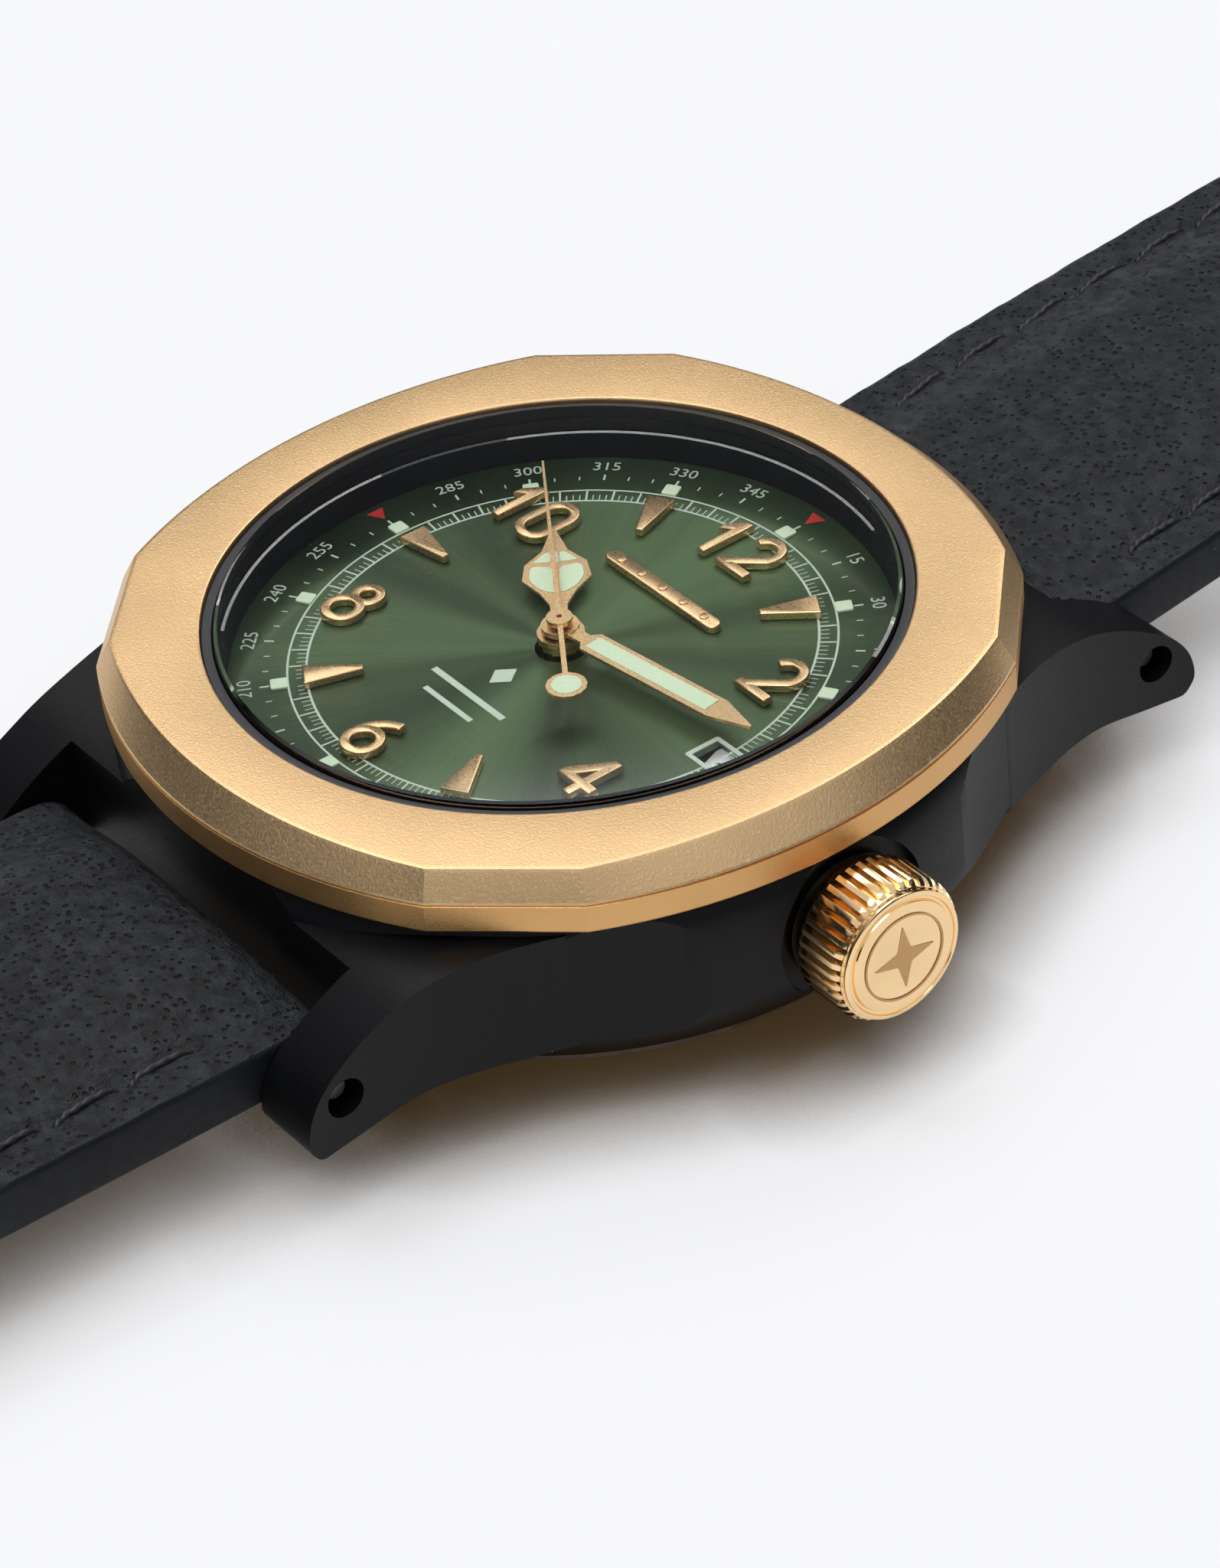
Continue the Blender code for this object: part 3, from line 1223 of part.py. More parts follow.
def build_buckle():
    y0, z0 = BAR_Y + SHORT_STRAP, short_height(SHORT_STRAP)
    outer, inner = BUCKLE_OUTER_HALF, BUCKLE_INNER_HALF
    corner, back, far = BUCKLE_CORNER, -BUCKLE_BACK, BUCKLE_REACH
    outside = [(outer, back)] + arc((outer - corner, far - corner), corner, 0, 90, 5)
    outside += arc((corner - outer, far - corner), corner, 90, 180, 5) + [(-outer, back)]
    window = [(-inner, back), (-inner, far - BUCKLE_RAIL), (inner, far - BUCKLE_RAIL), (inner, back)]
    shape = [(x, y0 + y) for x, y in outside + window]
    half = BUCKLE_THICKNESS / 2
    frame = plate("buckle_frame", [shape], z0 - half, z0 + half, "black_case")
    hole = BUCKLE_BAR_RADIUS + PIVOT_PLAY
    cut(frame, rod("frame_hole", hole, -outer - 1, outer + 1, (y0, z0), "black_case", cutter=True))
    frame = on_axis(settle(frame), (0.0, y0, z0))
    frame.data.transform(Matrix.Rotation(math.radians(-BUCKLE_TILT), 4, "X"))

    bar_end = outer - 0.3
    rod("buckle_bar", BUCKLE_BAR_RADIUS, -bar_end, bar_end, (y0, z0), "steel", sides=12)

    prong_end = far + 0.3
    prong = [(0.2, -0.05), (prong_end, -0.05), (prong_end, 0.25), (prong_end - 1.6, 0.75), (0.2, 0.8)]
    side_outline = [(y0 + d, z0 + h) for d, h in prong]
    half_width = TONGUE_WIDTH / 2
    tongue = plate("buckle_tongue", [side_outline], -half_width, half_width, "black_case", axis="X")
    join(tongue, rod("tongue_hub", TONGUE_HUB, -half_width, half_width, (y0, z0), "black_case"))
    cut(tongue, rod("tongue_bore", hole, -TONGUE_WIDTH, TONGUE_WIDTH, (y0, z0), "black_case", cutter=True))
    on_axis(settle(tongue), (0.0, y0, z0))


def keeper(name, distance, lift):
    """A leather loop square to the strap at a distance from the spring bar."""
    y0, z0 = BAR_Y + distance, short_height(distance) + lift
    width = STRAP_END_WIDTH + KEEPER_PLAY
    outer_x, outer_z = width / 2 + KEEPER_WALL, KEEPER_HEIGHT / 2 + KEEPER_WALL
    slope = slope_of(short_height, distance)
    loop = block(name, (2 * outer_x, KEEPER_LENGTH, 2 * outer_z), (0.0, y0, z0), "leather_black", turn=slope)
    hollow = (width, KEEPER_LENGTH + 2.0, KEEPER_HEIGHT)
    cut(loop, block(name + "_hollow", hollow, (0.0, y0, z0), "leather_black", cutter=True, turn=slope))
    return on_axis(settle(loop), (0.0, y0, z0))


build_mid_case()
build_bezel()
build_glass()
build_case_back()
build_dial()
build_markers()
build_hands()
build_plates()
build_train()
build_escapement()
build_motion_work()
build_rotor()
build_crown()
build_straps()
build_buckle()
keeper("fixed_keeper", FIXED_KEEPER_AT, KEEPER_HEIGHT / 2 - STRAP_THIN / 2 - RUNNING)
keeper("free_keeper", FREE_KEEPER_AT, 0.0)
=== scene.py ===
"""An automatic wristwatch: blasted gold bezel, black case, green dial and leather strap."""

import json
import math

import bmesh
import bpy
from mathutils import Matrix, Vector, noise

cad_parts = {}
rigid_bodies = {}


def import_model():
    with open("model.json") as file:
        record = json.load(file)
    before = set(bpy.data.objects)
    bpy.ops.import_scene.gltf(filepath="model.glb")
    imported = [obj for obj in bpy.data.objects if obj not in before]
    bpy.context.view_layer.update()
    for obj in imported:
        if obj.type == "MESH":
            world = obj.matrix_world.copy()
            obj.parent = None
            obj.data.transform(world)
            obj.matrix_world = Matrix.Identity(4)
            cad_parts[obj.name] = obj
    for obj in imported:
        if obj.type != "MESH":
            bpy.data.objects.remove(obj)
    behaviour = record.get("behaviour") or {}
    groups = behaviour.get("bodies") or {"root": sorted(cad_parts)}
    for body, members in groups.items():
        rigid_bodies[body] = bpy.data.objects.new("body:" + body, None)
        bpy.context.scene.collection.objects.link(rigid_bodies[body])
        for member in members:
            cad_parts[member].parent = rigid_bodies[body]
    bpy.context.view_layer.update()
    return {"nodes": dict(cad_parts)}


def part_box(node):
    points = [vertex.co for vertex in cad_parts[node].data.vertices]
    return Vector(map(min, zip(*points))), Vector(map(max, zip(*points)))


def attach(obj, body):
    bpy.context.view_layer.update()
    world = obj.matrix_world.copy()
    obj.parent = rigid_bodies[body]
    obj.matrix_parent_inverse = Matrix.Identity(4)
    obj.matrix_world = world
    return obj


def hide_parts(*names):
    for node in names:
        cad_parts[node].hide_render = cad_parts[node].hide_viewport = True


bl_info = {
    "name": "Wristwatch looks",
    "version": (1, 0, 0),
    "blender": (4, 5, 0),
    "location": "3D View > Sidebar > Watch",
    "description": "Builds the visible pieces and finishes of an automatic wristwatch",
    "category": "Object",
}

for leftover in list(bpy.data.objects):
    bpy.data.objects.remove(leftover, do_unlink=True)

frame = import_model()
NODES = frame["nodes"]
MM = 0.001


def corner_mm(node, which, axis):
    """One coordinate of a node's lowest (0) or highest (1) corner, in millimetres."""
    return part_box(node)[which][axis] / MM


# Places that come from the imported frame, in millimetres
BAR_Y = (corner_mm("spring_bar_12", 0, 1) + corner_mm("spring_bar_12", 1, 1)) / 2
BAR_Z = (corner_mm("spring_bar_12", 0, 2) + corner_mm("spring_bar_12", 1, 2)) / 2
DIAL_TOP = corner_mm("dial", 1, 2)
BEZEL_TOP = corner_mm("bezel", 1, 2)
BEZEL_BASE = corner_mm("bezel", 0, 2)
CASE_TOP = 9.65
CROWN_START = corner_mm("crown", 0, 0)
CROWN_END = corner_mm("crown", 1, 0)
CROWN_Z = (corner_mm("crown", 0, 2) + corner_mm("crown", 1, 2)) / 2
CROWN_RADIUS = (corner_mm("crown", 1, 2) - corner_mm("crown", 0, 2)) / 2
LUG_TIP = corner_mm("mid_case", 1, 1)
STRAP_HALF = corner_mm("strap_6", 1, 0)
LONG_END = -corner_mm("strap_6", 0, 1) - BAR_Y
HAND_TOPS = {name: corner_mm(name, 1, 2) for name in ("hour_hand", "minute_hand", "seconds_hand")}


# ----------------------------------------------------------------------------
# Settings
# ----------------------------------------------------------------------------

def length(name, description, default):
    return bpy.props.FloatProperty(name=name, description=description, default=default, min=0.0, unit="NONE")


def colour(name, description, default):
    return bpy.props.FloatVectorProperty(
        name=name, description=description, default=default, size=3, min=0.0, max=1.0, subtype="COLOR"
    )


class WatchSizes(bpy.types.PropertyGroup):
    """Sizes of the visible detail, in millimetres."""

    edge_break: length("Edge break", "Width of the small bevels on metal edges, mm", 0.12)
    stitch_pitch: length("Stitch pitch", "Distance from one stitch to the next along the strap, mm", 3.5)
    stitch_inset: length("Stitch inset", "Distance of the stitching from the strap's edge, mm", 2.1)
    thread_radius: length("Thread radius", "Radius of the strap's sewing thread, mm", 0.17)
    pad_height: length(
        "Pad height", "How far the strap's middle stands above its edges beside the lugs, mm", 0.95
    )
    pore_spacing: length("Pore spacing", "Spacing of the pores in the leather, mm", 0.40)
    blast_grain: length("Blasted grain", "Size of the grain that bead blasting leaves, mm", 0.11)
    track_radius: length("Track radius", "Inner radius of the printed minute track, mm", 10.5)


class WatchColours(bpy.types.PropertyGroup):
    """Base colours of the finishes."""

    bezel: colour("Bezel", "Bead-blasted gold-tone bezel", (0.79, 0.535, 0.28))
    polished_gold: colour("Polished gold", "Crown, markers and hands", (0.93, 0.66, 0.36))
    case: colour("Case", "Black coating of the case and buckle", (0.0026, 0.0029, 0.0037))
    dial: colour("Dial", "Green dial lacquer", (0.064, 0.100, 0.046))
    lume: colour("Luminous paint", "Pale green luminous paint", (0.60, 0.72, 0.50))
    leather: colour("Leather", "Black calf leather", (0.0036, 0.0048, 0.0062))
    floor: colour("Floor", "Pale table", (0.25, 0.25, 0.252))


def sizes():
    return bpy.context.scene.watch_sizes


def colours():
    return bpy.context.scene.watch_colours


# ----------------------------------------------------------------------------
# Shader building
# ----------------------------------------------------------------------------

class Wiring:
    """Adds nodes to one tree: an input takes a value or another node's output."""

    def __init__(self, tree):
        self.tree = tree

    def add(self, kind, settings=None, **inputs):
        made = self.tree.nodes.new(kind)
        for key, value in (settings or {}).items():
            setattr(made, key, value)
        for key, value in inputs.items():
            socket = made.inputs[int(key[2:])] if key.startswith("at") else made.inputs[key.replace("_", " ")]
            if isinstance(value, bpy.types.NodeSocket):
                self.link(value, socket)
            else:
                socket.default_value = value
        return made

    def link(self, source, socket):
        self.tree.links.new(source, socket)

    def math(self, operation, a, b=0.0, clamp=False):
        return self.add(
            "ShaderNodeMath", {"operation": operation, "use_clamp": clamp}, at0=a, at1=b
        ).outputs[0]

    def between(self, value, low, high, out_low=0.0, out_high=1.0):
        made = self.add("ShaderNodeMapRange", None, Value=value)
        for key, number in (("From Min", low), ("From Max", high), ("To Min", out_low), ("To Max", out_high)):
            made.inputs[key].default_value = number
        return made.outputs[0]

    def mix(self, factor, a, b):
        made = self.tree.nodes.new("ShaderNodeMix")
        made.data_type = "RGBA"
        for index, value in ((0, factor), (6, a), (7, b)):
            if isinstance(value, bpy.types.NodeSocket):
                self.link(value, made.inputs[index])
            elif index == 0:
                made.inputs[0].default_value = value
            else:
                made.inputs[index].default_value = (*value[:3], 1.0)
        return made.outputs[2]

    def place(self, per_mm=(1.0, 1.0, 1.0)):
        """Object coordinates in millimetres, times a number for each axis."""
        source = self.tree.nodes.new("ShaderNodeTexCoord").outputs["Object"]
        scaled = self.tree.nodes.new("ShaderNodeVectorMath")
        scaled.operation = "MULTIPLY"
        self.link(source, scaled.inputs[0])
        scaled.inputs[1].default_value = [value / MM for value in per_mm]
        return scaled.outputs[0]

    def scaled(self, vector, factor):
        made = self.tree.nodes.new("ShaderNodeVectorMath")
        made.operation = "SCALE"
        self.link(vector, made.inputs[0])
        if isinstance(factor, bpy.types.NodeSocket):
            self.link(factor, made.inputs["Scale"])
        else:
            made.inputs["Scale"].default_value = factor
        return made.outputs[0]

    def bump(self, height, distance_mm, strength=1.0):
        return self.add(
            "ShaderNodeBump", None, Height=height, Distance=distance_mm * MM, Strength=strength
        ).outputs[0]


def effect(name, inputs, outputs, build):
    """A shared node group, built once: build(wiring, inputs) returns its outputs by name."""
    if name in bpy.data.node_groups:
        return bpy.data.node_groups[name]
    tree = bpy.data.node_groups.new(name, "ShaderNodeTree")
    for label, default in inputs.items():
        socket = tree.interface.new_socket(label, in_out="INPUT", socket_type="NodeSocketFloat")
        socket.default_value = default
    for label in outputs:
        tree.interface.new_socket(label, in_out="OUTPUT", socket_type="NodeSocketFloat")
    wiring = Wiring(tree)
    given = tree.nodes.new("NodeGroupInput")
    result = build(wiring, given.outputs)
    taken = tree.nodes.new("NodeGroupOutput")
    for label in outputs:
        tree.links.new(result[label], taken.inputs[label])
    return tree


def use(wiring, tree, **values):
    made = wiring.tree.nodes.new("ShaderNodeGroup")
    made.node_tree = tree
    for key, value in values.items():
        made.inputs[key.replace("_", " ")].default_value = value
    return made.outputs


def blasted_grain():
    """Even fine grain, with a slow change of tone over it, and a mask of the highest grains for painted glints.
    """

    def build(w, given):
        fine = w.scaled(w.place(), w.math("DIVIDE", 1.0, given["Grain"]))
        grain = w.add(
            "ShaderNodeTexNoise", None, Vector=fine, Scale=1.0, Detail=2.0, Roughness=0.65
        ).outputs[0]
        slow = w.add("ShaderNodeTexNoise", None, Vector=w.place(), Scale=0.16, Detail=3.0).outputs[0]
        painted_glint = w.between(grain, 0.60, 0.74)
        return {"Height": grain, "Tone": slow, "Painted glint": painted_glint}

    return effect("blasted grain", {"Grain": 0.12}, ("Height", "Tone", "Painted glint"), build)


def brushed_lines():
    """Fine straight lines that run along X, Y or Z, as the three stretches ask."""

    def build(w, given):
        stretch = w.add(
            "ShaderNodeCombineXYZ", None, X=given["Across X"], Y=given["Across Y"], Z=given["Across Z"]
        )
        product = w.tree.nodes.new("ShaderNodeVectorMath")
        product.operation = "MULTIPLY"
        w.link(w.place(), product.inputs[0])
        w.link(stretch.outputs[0], product.inputs[1])
        fine = w.add(
            "ShaderNodeTexNoise", None, Vector=product.outputs[0], Scale=1.0, Detail=4.0, Roughness=0.7
        )
        slow = w.add("ShaderNodeTexNoise", None, Vector=w.place(), Scale=0.3, Detail=2.0)
        return {"Lines": fine.outputs[0], "Tone": slow.outputs[0]}

    return effect(
        "brushed lines", {"Across X": 0.3, "Across Y": 9.0, "Across Z": 9.0}, ("Lines", "Tone"), build
    )


def ray_lines():
    """Lines that run out from the Z axis, and rings about it; also broad fans about the axis, used on the dial
    as painted sheen.
    """

    def build(w, given):
        split = w.add("ShaderNodeSeparateXYZ", None, Vector=w.place())
        angle = w.math("ARCTAN2", split.outputs[1], split.outputs[0])
        squares = w.math(
            "ADD", w.math("POWER", split.outputs[0], 2.0), w.math("POWER", split.outputs[1], 2.0)
        )
        radius = w.math("SQRT", squares)
        turn = w.math("MULTIPLY", angle, given["Rays"])
        along = w.math("MULTIPLY", radius, given["Rings"])
        spot = w.add("ShaderNodeCombineXYZ", None, X=turn, Y=along, Z=0.0).outputs[0]
        lines = w.add(
            "ShaderNodeTexNoise", None, Vector=spot, Scale=1.0, Detail=3.0, Roughness=0.7
        ).outputs[0]
        fan_spot = w.add(
            "ShaderNodeCombineXYZ", None, X=w.math("SINE", angle), Y=w.math("COSINE", angle), Z=0.0
        )
        sheen_fan_noise = w.add("ShaderNodeTexNoise", None, Vector=fan_spot.outputs[0], Scale=1.6, Detail=1.0).outputs[0]
        return {"Lines": lines, "Painted sheen": sheen_fan_noise, "Radius": radius}

    return effect("ray lines", {"Rays": 60.0, "Rings": 0.05}, ("Lines", "Painted sheen", "Radius"), build)


def calf_grain():
    """Calf leather: small dark pores, soft pebbles between them and longer creases."""

    def build(w, given):
        cells = w.scaled(w.place(), w.math("DIVIDE", 1.0, given["Pore spacing"]))
        warp = w.add("ShaderNodeTexNoise", None, Vector=w.place(), Scale=0.9, Detail=2.0).outputs[1]
        shifted = w.tree.nodes.new("ShaderNodeVectorMath")
        shifted.operation = "ADD"
        w.link(cells, shifted.inputs[0])
        w.link(warp, shifted.inputs[1])
        spots = w.add("ShaderNodeTexVoronoi", None, Vector=shifted.outputs[0], Scale=1.0, Randomness=0.85)
        pores = w.between(spots.outputs["Distance"], 0.13, 0.27, 1.0, 0.0)
        pebble = w.add(
            "ShaderNodeTexVoronoi", {"feature": "SMOOTH_F1"},
            Vector=shifted.outputs[0], Scale=0.62, Randomness=1.0,
        ).outputs["Distance"]
        ridge = w.add(
            "ShaderNodeTexNoise", None, Vector=w.place(), Scale=1.9, Detail=6.0, Roughness=0.72
        ).outputs[0]
        crease_spot = w.place((0.25, 1.2, 1.2))
        crease = w.add(
            "ShaderNodeTexNoise", None, Vector=crease_spot, Scale=1.0, Detail=4.0, Roughness=0.6
        ).outputs[0]
        folded = w.math("ABSOLUTE", w.math("SUBTRACT", crease, 0.5))
        height = w.math("SUBTRACT", w.math("MULTIPLY", pebble, 0.6), w.math("MULTIPLY", pores, 0.75))
        height = w.math("ADD", height, w.math("MULTIPLY", ridge, 0.9))
        height = w.math("ADD", height, w.math("MULTIPLY", folded, 0.8))
        return {"Height": height, "Pores": pores, "Tone": ridge}

    return effect("calf grain", {"Pore spacing": 0.36}, ("Height", "Pores", "Tone"), build)


def fine_dust():
    """A few specks of dust on a dark surface."""

    def build(w, given):
        spots = w.add("ShaderNodeTexVoronoi", None, Vector=w.place(), Scale=given["Specks"], Randomness=1.0)
        speck = w.between(spots.outputs["Distance"], 0.022, 0.045, 1.0, 0.0)
        chosen = w.add("ShaderNodeSeparateColor", None, Color=spots.outputs["Color"]).outputs[0]
        few = w.math("GREATER_THAN", chosen, 0.82)
        return {"Mask": w.math("MULTIPLY", speck, few)}

    return effect("fine dust", {"Specks": 1.1}, ("Mask",), build)


def start_material(name, **plain):
    """A material with its wiring and its Principled shader; plain values go on the shader's sockets."""
    made = bpy.data.materials.new(name)
    made.use_nodes = True
    shader = made.node_tree.nodes["Principled BSDF"]
    for key, value in plain.items():
        socket = shader.inputs[key.replace("_", " ")]
        is_colour = isinstance(value, (tuple, list)) and len(value) == 3
        socket.default_value = (*value, 1.0) if is_colour else value
    return made, Wiring(made.node_tree), shader


def surfaced(made, w, shader, tone, roughness, normal):
    """Gives the shader its colour, roughness and normal, and returns the material."""
    w.link(tone, shader.inputs["Base Color"])
    w.link(roughness, shader.inputs["Roughness"])
    w.link(normal, shader.inputs["Normal"])
    return made


def finish_blasted(name, base, rough, metallic, depth=0.006, spread=0.25, grain=None, painted_glint=0.0, **plain):
    """Bead-blasted metal or coating; if asked, the highest grains are lightened as painted glints."""
    made, w, shader = start_material(name, Metallic=metallic, **plain)
    out = use(w, blasted_grain(), Grain=grain or sizes().blast_grain)
    darker = [channel * (1.0 - spread) for channel in base]
    lighter = [min(1.0, channel * (1.0 + spread)) for channel in base]
    tone = w.mix(w.between(out["Tone"], 0.3, 0.7), darker, lighter)
    # Painted glints: the highest grains get a much lighter colour, standing in for the sparkle of the blasted
    # surface.
    if painted_glint:
        tone = w.mix(w.math("MULTIPLY", out["Painted glint"], painted_glint), tone, [min(1.0, c * 1.6 + 0.02) for c in base])
    if metallic < 0.9:
        dust = use(w, fine_dust())["Mask"]
        tone = w.mix(w.math("MULTIPLY", dust, 0.35), tone, (0.5, 0.5, 0.52))
    return surfaced(
        made, w, shader, tone, w.between(out["Height"], 0.3, 0.7, rough - 0.06, rough + 0.06),
        w.bump(out["Height"], depth)
    )


def finish_polished(name, base, rough=0.12, metallic=1.0, **plain):
    """Polished plating with faint handling marks."""
    made, w, shader = start_material(name, Metallic=metallic, **plain)
    out = use(w, brushed_lines(), Across_X=2.2, Across_Y=2.6, Across_Z=0.4)
    tone = w.mix(
        w.between(out["Tone"], 0.3, 0.7), [c * 0.93 for c in base], [min(1.0, c * 1.05) for c in base]
    )
    return surfaced(
        made, w, shader, tone, w.between(out["Lines"], 0.3, 0.75, rough * 0.7, rough * 1.7),
        w.bump(out["Tone"], 0.01, 0.3)
    )


def finish_brushed(name, base, rough=0.28, across=(0.3, 9.0, 9.0), depth=0.004, metallic=1.0, **plain):
    """Straight-brushed metal."""
    made, w, shader = start_material(name, Metallic=metallic, **plain)
    out = use(w, brushed_lines(), Across_X=across[0], Across_Y=across[1], Across_Z=across[2])
    tone = w.mix(
        w.between(out["Lines"], 0.35, 0.65), [c * 0.8 for c in base], [min(1.0, c * 1.12) for c in base]
    )
    return surfaced(
        made, w, shader, tone, w.between(out["Lines"], 0.3, 0.7, rough - 0.08, rough + 0.1),
        w.bump(out["Lines"], depth)
    )


def finish_rays(name, base, rough=0.3, rays=60.0, rings=0.05, depth=0.003, spread=0.2, metallic=1.0, **plain):
    """Metal grained in rays or in rings about the middle of the watch."""
    made, w, shader = start_material(name, Metallic=metallic, **plain)
    out = use(w, ray_lines(), Rays=rays, Rings=rings)
    low, high = [c * (1 - spread) for c in base], [min(1.0, c * (1 + spread)) for c in base]
    tone = w.mix(w.between(out["Lines"], 0.35, 0.65), low, high)
    return surfaced(
        made, w, shader, tone, w.between(out["Lines"], 0.3, 0.7, rough - 0.07, rough + 0.1),
        w.bump(out["Lines"], depth)
    )


def finish_moulded(name, base, rough=0.55, **plain):
    """Moulded rubber or plastic."""
    made, w, shader = start_material(name, **plain)
    out = use(w, blasted_grain(), Grain=0.25)
    tone = w.mix(w.between(out["Tone"], 0.3, 0.7), [c * 0.8 for c in base], [min(1.0, c * 1.2) for c in base])
    return surfaced(
        made, w, shader, tone, w.between(out["Height"], 0.3, 0.7, rough - 0.05, rough + 0.08),
        w.bump(out["Height"], 0.005)
    )


def finish_dial():
    """Sun-brushed green lacquer: fine rays; broad light and dark fans that paint in the highlight and shade of
    the brushed sheen; darker towards the edge.
    """
    base = colours().dial
    made, w, shader = start_material(
        "dial_sunburst", Metallic=0.75, Anisotropic=0.75, Coat_Weight=0.25, Coat_Roughness=0.12
    )
    out = use(w, ray_lines(), Rays=110.0, Rings=0.03)
    dark, light = [c * 0.60 for c in base], [c * 1.5 for c in base]
    rays = w.mix(w.between(out["Lines"], 0.3, 0.7), dark, light)
    # Painted highlight and shade: broad fans lighten and darken the lacquer where the sun-brushed sheen would
    # catch or miss the light.
    painted_sheen_fans = w.mix(w.between(out["Painted sheen"], 0.35, 0.65), [c * 0.45 for c in base], [c * 2.3 for c in base])
    both = w.mix(0.6, rays, painted_sheen_fans)
    tone = w.mix(w.between(out["Radius"], 10.4, 13.0, 0.0, 0.55), both, [c * 0.45 for c in base])
    w.link(tone, shader.inputs["Base Color"])
    w.link(w.between(out["Lines"], 0.3, 0.7, 0.30, 0.42), shader.inputs["Roughness"])
    tangent = w.add("ShaderNodeTangent", {"direction_type": "RADIAL", "axis": "Z"})
    w.link(tangent.outputs[0], shader.inputs["Tangent"])
    w.link(w.bump(out["Lines"], 0.0015), shader.inputs["Normal"])
    return made


def finish_leather():
    """Black calf: pebbles, pores darkened as painted shade, and grain lighter on its high points."""
    base = colours().leather
    made, w, shader = start_material("calf_black", Specular_IOR_Level=0.5)
    out = use(w, calf_grain(), Pore_spacing=sizes().pore_spacing)
    high_grain_lighter = w.between(out["Height"], 0.62, 1.05)
    tone = w.mix(w.between(out["Tone"], 0.35, 0.7), [c * 0.7 for c in base], [c * 1.7 for c in base])
    # The grain is lighter on its high points.
    tone = w.mix(w.math("MULTIPLY", high_grain_lighter, 0.6), tone, (0.046, 0.050, 0.056))
    # Painted shade: the pores are darkened almost to black, as their small hollows would be shaded.
    tone = w.mix(w.math("MULTIPLY", out["Pores"], 0.9), tone, (0.0008, 0.0008, 0.001))
    return surfaced(
        made, w, shader, tone, w.between(out["Height"], 0.2, 1.0, 0.60, 0.32),
        w.bump(out["Height"], 0.28, 1.0)
    )


def finish_leather_edge():
    """The painted cut edge of the strap: smooth and slightly wavy, with a few dust specks."""
    made, w, shader = start_material("edge_paint", Specular_IOR_Level=0.17)
    out = use(w, blasted_grain(), Grain=0.5)
    tone = w.mix(w.between(out["Tone"], 0.3, 0.7), (0.004, 0.0045, 0.006), (0.008, 0.009, 0.011))
    dust = use(w, fine_dust(), Specks=1.4)["Mask"]
    tone = w.mix(w.math("MULTIPLY", dust, 0.5), tone, (0.45, 0.45, 0.45))
    return surfaced(
        made, w, shader, tone, w.between(out["Height"], 0.3, 0.7, 0.42, 0.56), w.bump(out["Height"], 0.01)
    )


def finish_thread():
    """Waxed black thread with its twist."""
    made, w, shader = start_material("thread_black", Specular_IOR_Level=0.5)
    twist = w.add(
        "ShaderNodeTexWave", {"wave_type": "BANDS", "bands_direction": "DIAGONAL"},
        Vector=w.place(), Scale=1.1, Distortion=0.6,
    ).outputs[1]
    return surfaced(
        made, w, shader, w.mix(twist, (0.004, 0.004, 0.005), (0.022, 0.023, 0.026)),
        w.between(twist, 0.0, 1.0, 0.6, 0.42), w.bump(twist, 0.03)
    )


def finish_sapphire():
    """Clear sapphire whose underside coating keeps reflections low; it lets light through to the dial."""
    made, _, shader = start_material(
        "crystal_clear", Base_Color=(0.98, 0.99, 1.0), Metallic=0.0, Roughness=0.0, IOR=1.77,
        Transmission_Weight=1.0, Specular_IOR_Level=0.16,
    )
    tree = made.node_tree
    clear = tree.nodes.new("ShaderNodeBsdfTransparent")
    path = tree.nodes.new("ShaderNodeLightPath")
    mixed = tree.nodes.new("ShaderNodeMixShader")
    tree.links.new(path.outputs["Is Shadow Ray"], mixed.inputs[0])
    tree.links.new(shader.outputs[0], mixed.inputs[1])
    tree.links.new(clear.outputs[0], mixed.inputs[2])
    tree.links.new(mixed.outputs[0], tree.nodes["Material Output"].inputs["Surface"])
    return made


def finish_paint(name, base, rough=0.6, glow_as_painted_light=0.0):
    """Flat paint or print with a faint grain and, if asked, an emission of its own colour: a painted glow,
    though the part is no lamp.
    """
    made, w, shader = start_material(
        name, Specular_IOR_Level=0.3, Emission_Color=base, Emission_Strength=glow_as_painted_light
    )
    out = use(w, blasted_grain(), Grain=0.06)
    tone = w.mix(
        w.between(out["Height"], 0.3, 0.7), [c * 0.88 for c in base], [min(1.0, c * 1.08) for c in base]
    )
    return surfaced(
        made, w, shader, tone, w.between(out["Height"], 0.3, 0.7, rough - 0.05, rough + 0.08),
        w.bump(out["Height"], 0.004)
    )


def finish_table():
    """A pale table that glows with a painted light of its own; where ambient occlusion finds the watch close,
    the glow dims and the colour turns warm brown: a painted contact shadow.
    """
    base = colours().floor
    made, w, shader = start_material("pale_table_painted_shadow", Specular_IOR_Level=0.2, Emission_Strength=0.68)
    out = use(w, blasted_grain(), Grain=1.2)
    even = w.mix(w.between(out["Tone"], 0.3, 0.7), [c * 0.992 for c in base], base)
    # Painted shadow: occlusion under and beside the watch turns the table colour warm brown.
    closed = w.add("ShaderNodeAmbientOcclusion", {"samples": 8}, Distance=0.0065).outputs["AO"]
    tone = w.mix(w.between(closed, 0.3, 0.85), (0.20, 0.155, 0.105), even)
    w.link(tone, shader.inputs["Base Color"])
    # Painted shadow: the table's own glow fades to dark brown where occlusion is high.
    glow_outside_painted_shadow = w.between(closed, 0.40, 0.90)
    w.link(w.mix(glow_outside_painted_shadow, (0.045, 0.026, 0.008), (0.985, 0.99, 1.0)), shader.inputs["Emission Color"])
    w.link(w.between(out["Height"], 0.3, 0.7, 0.68, 0.78), shader.inputs["Roughness"])
    return made


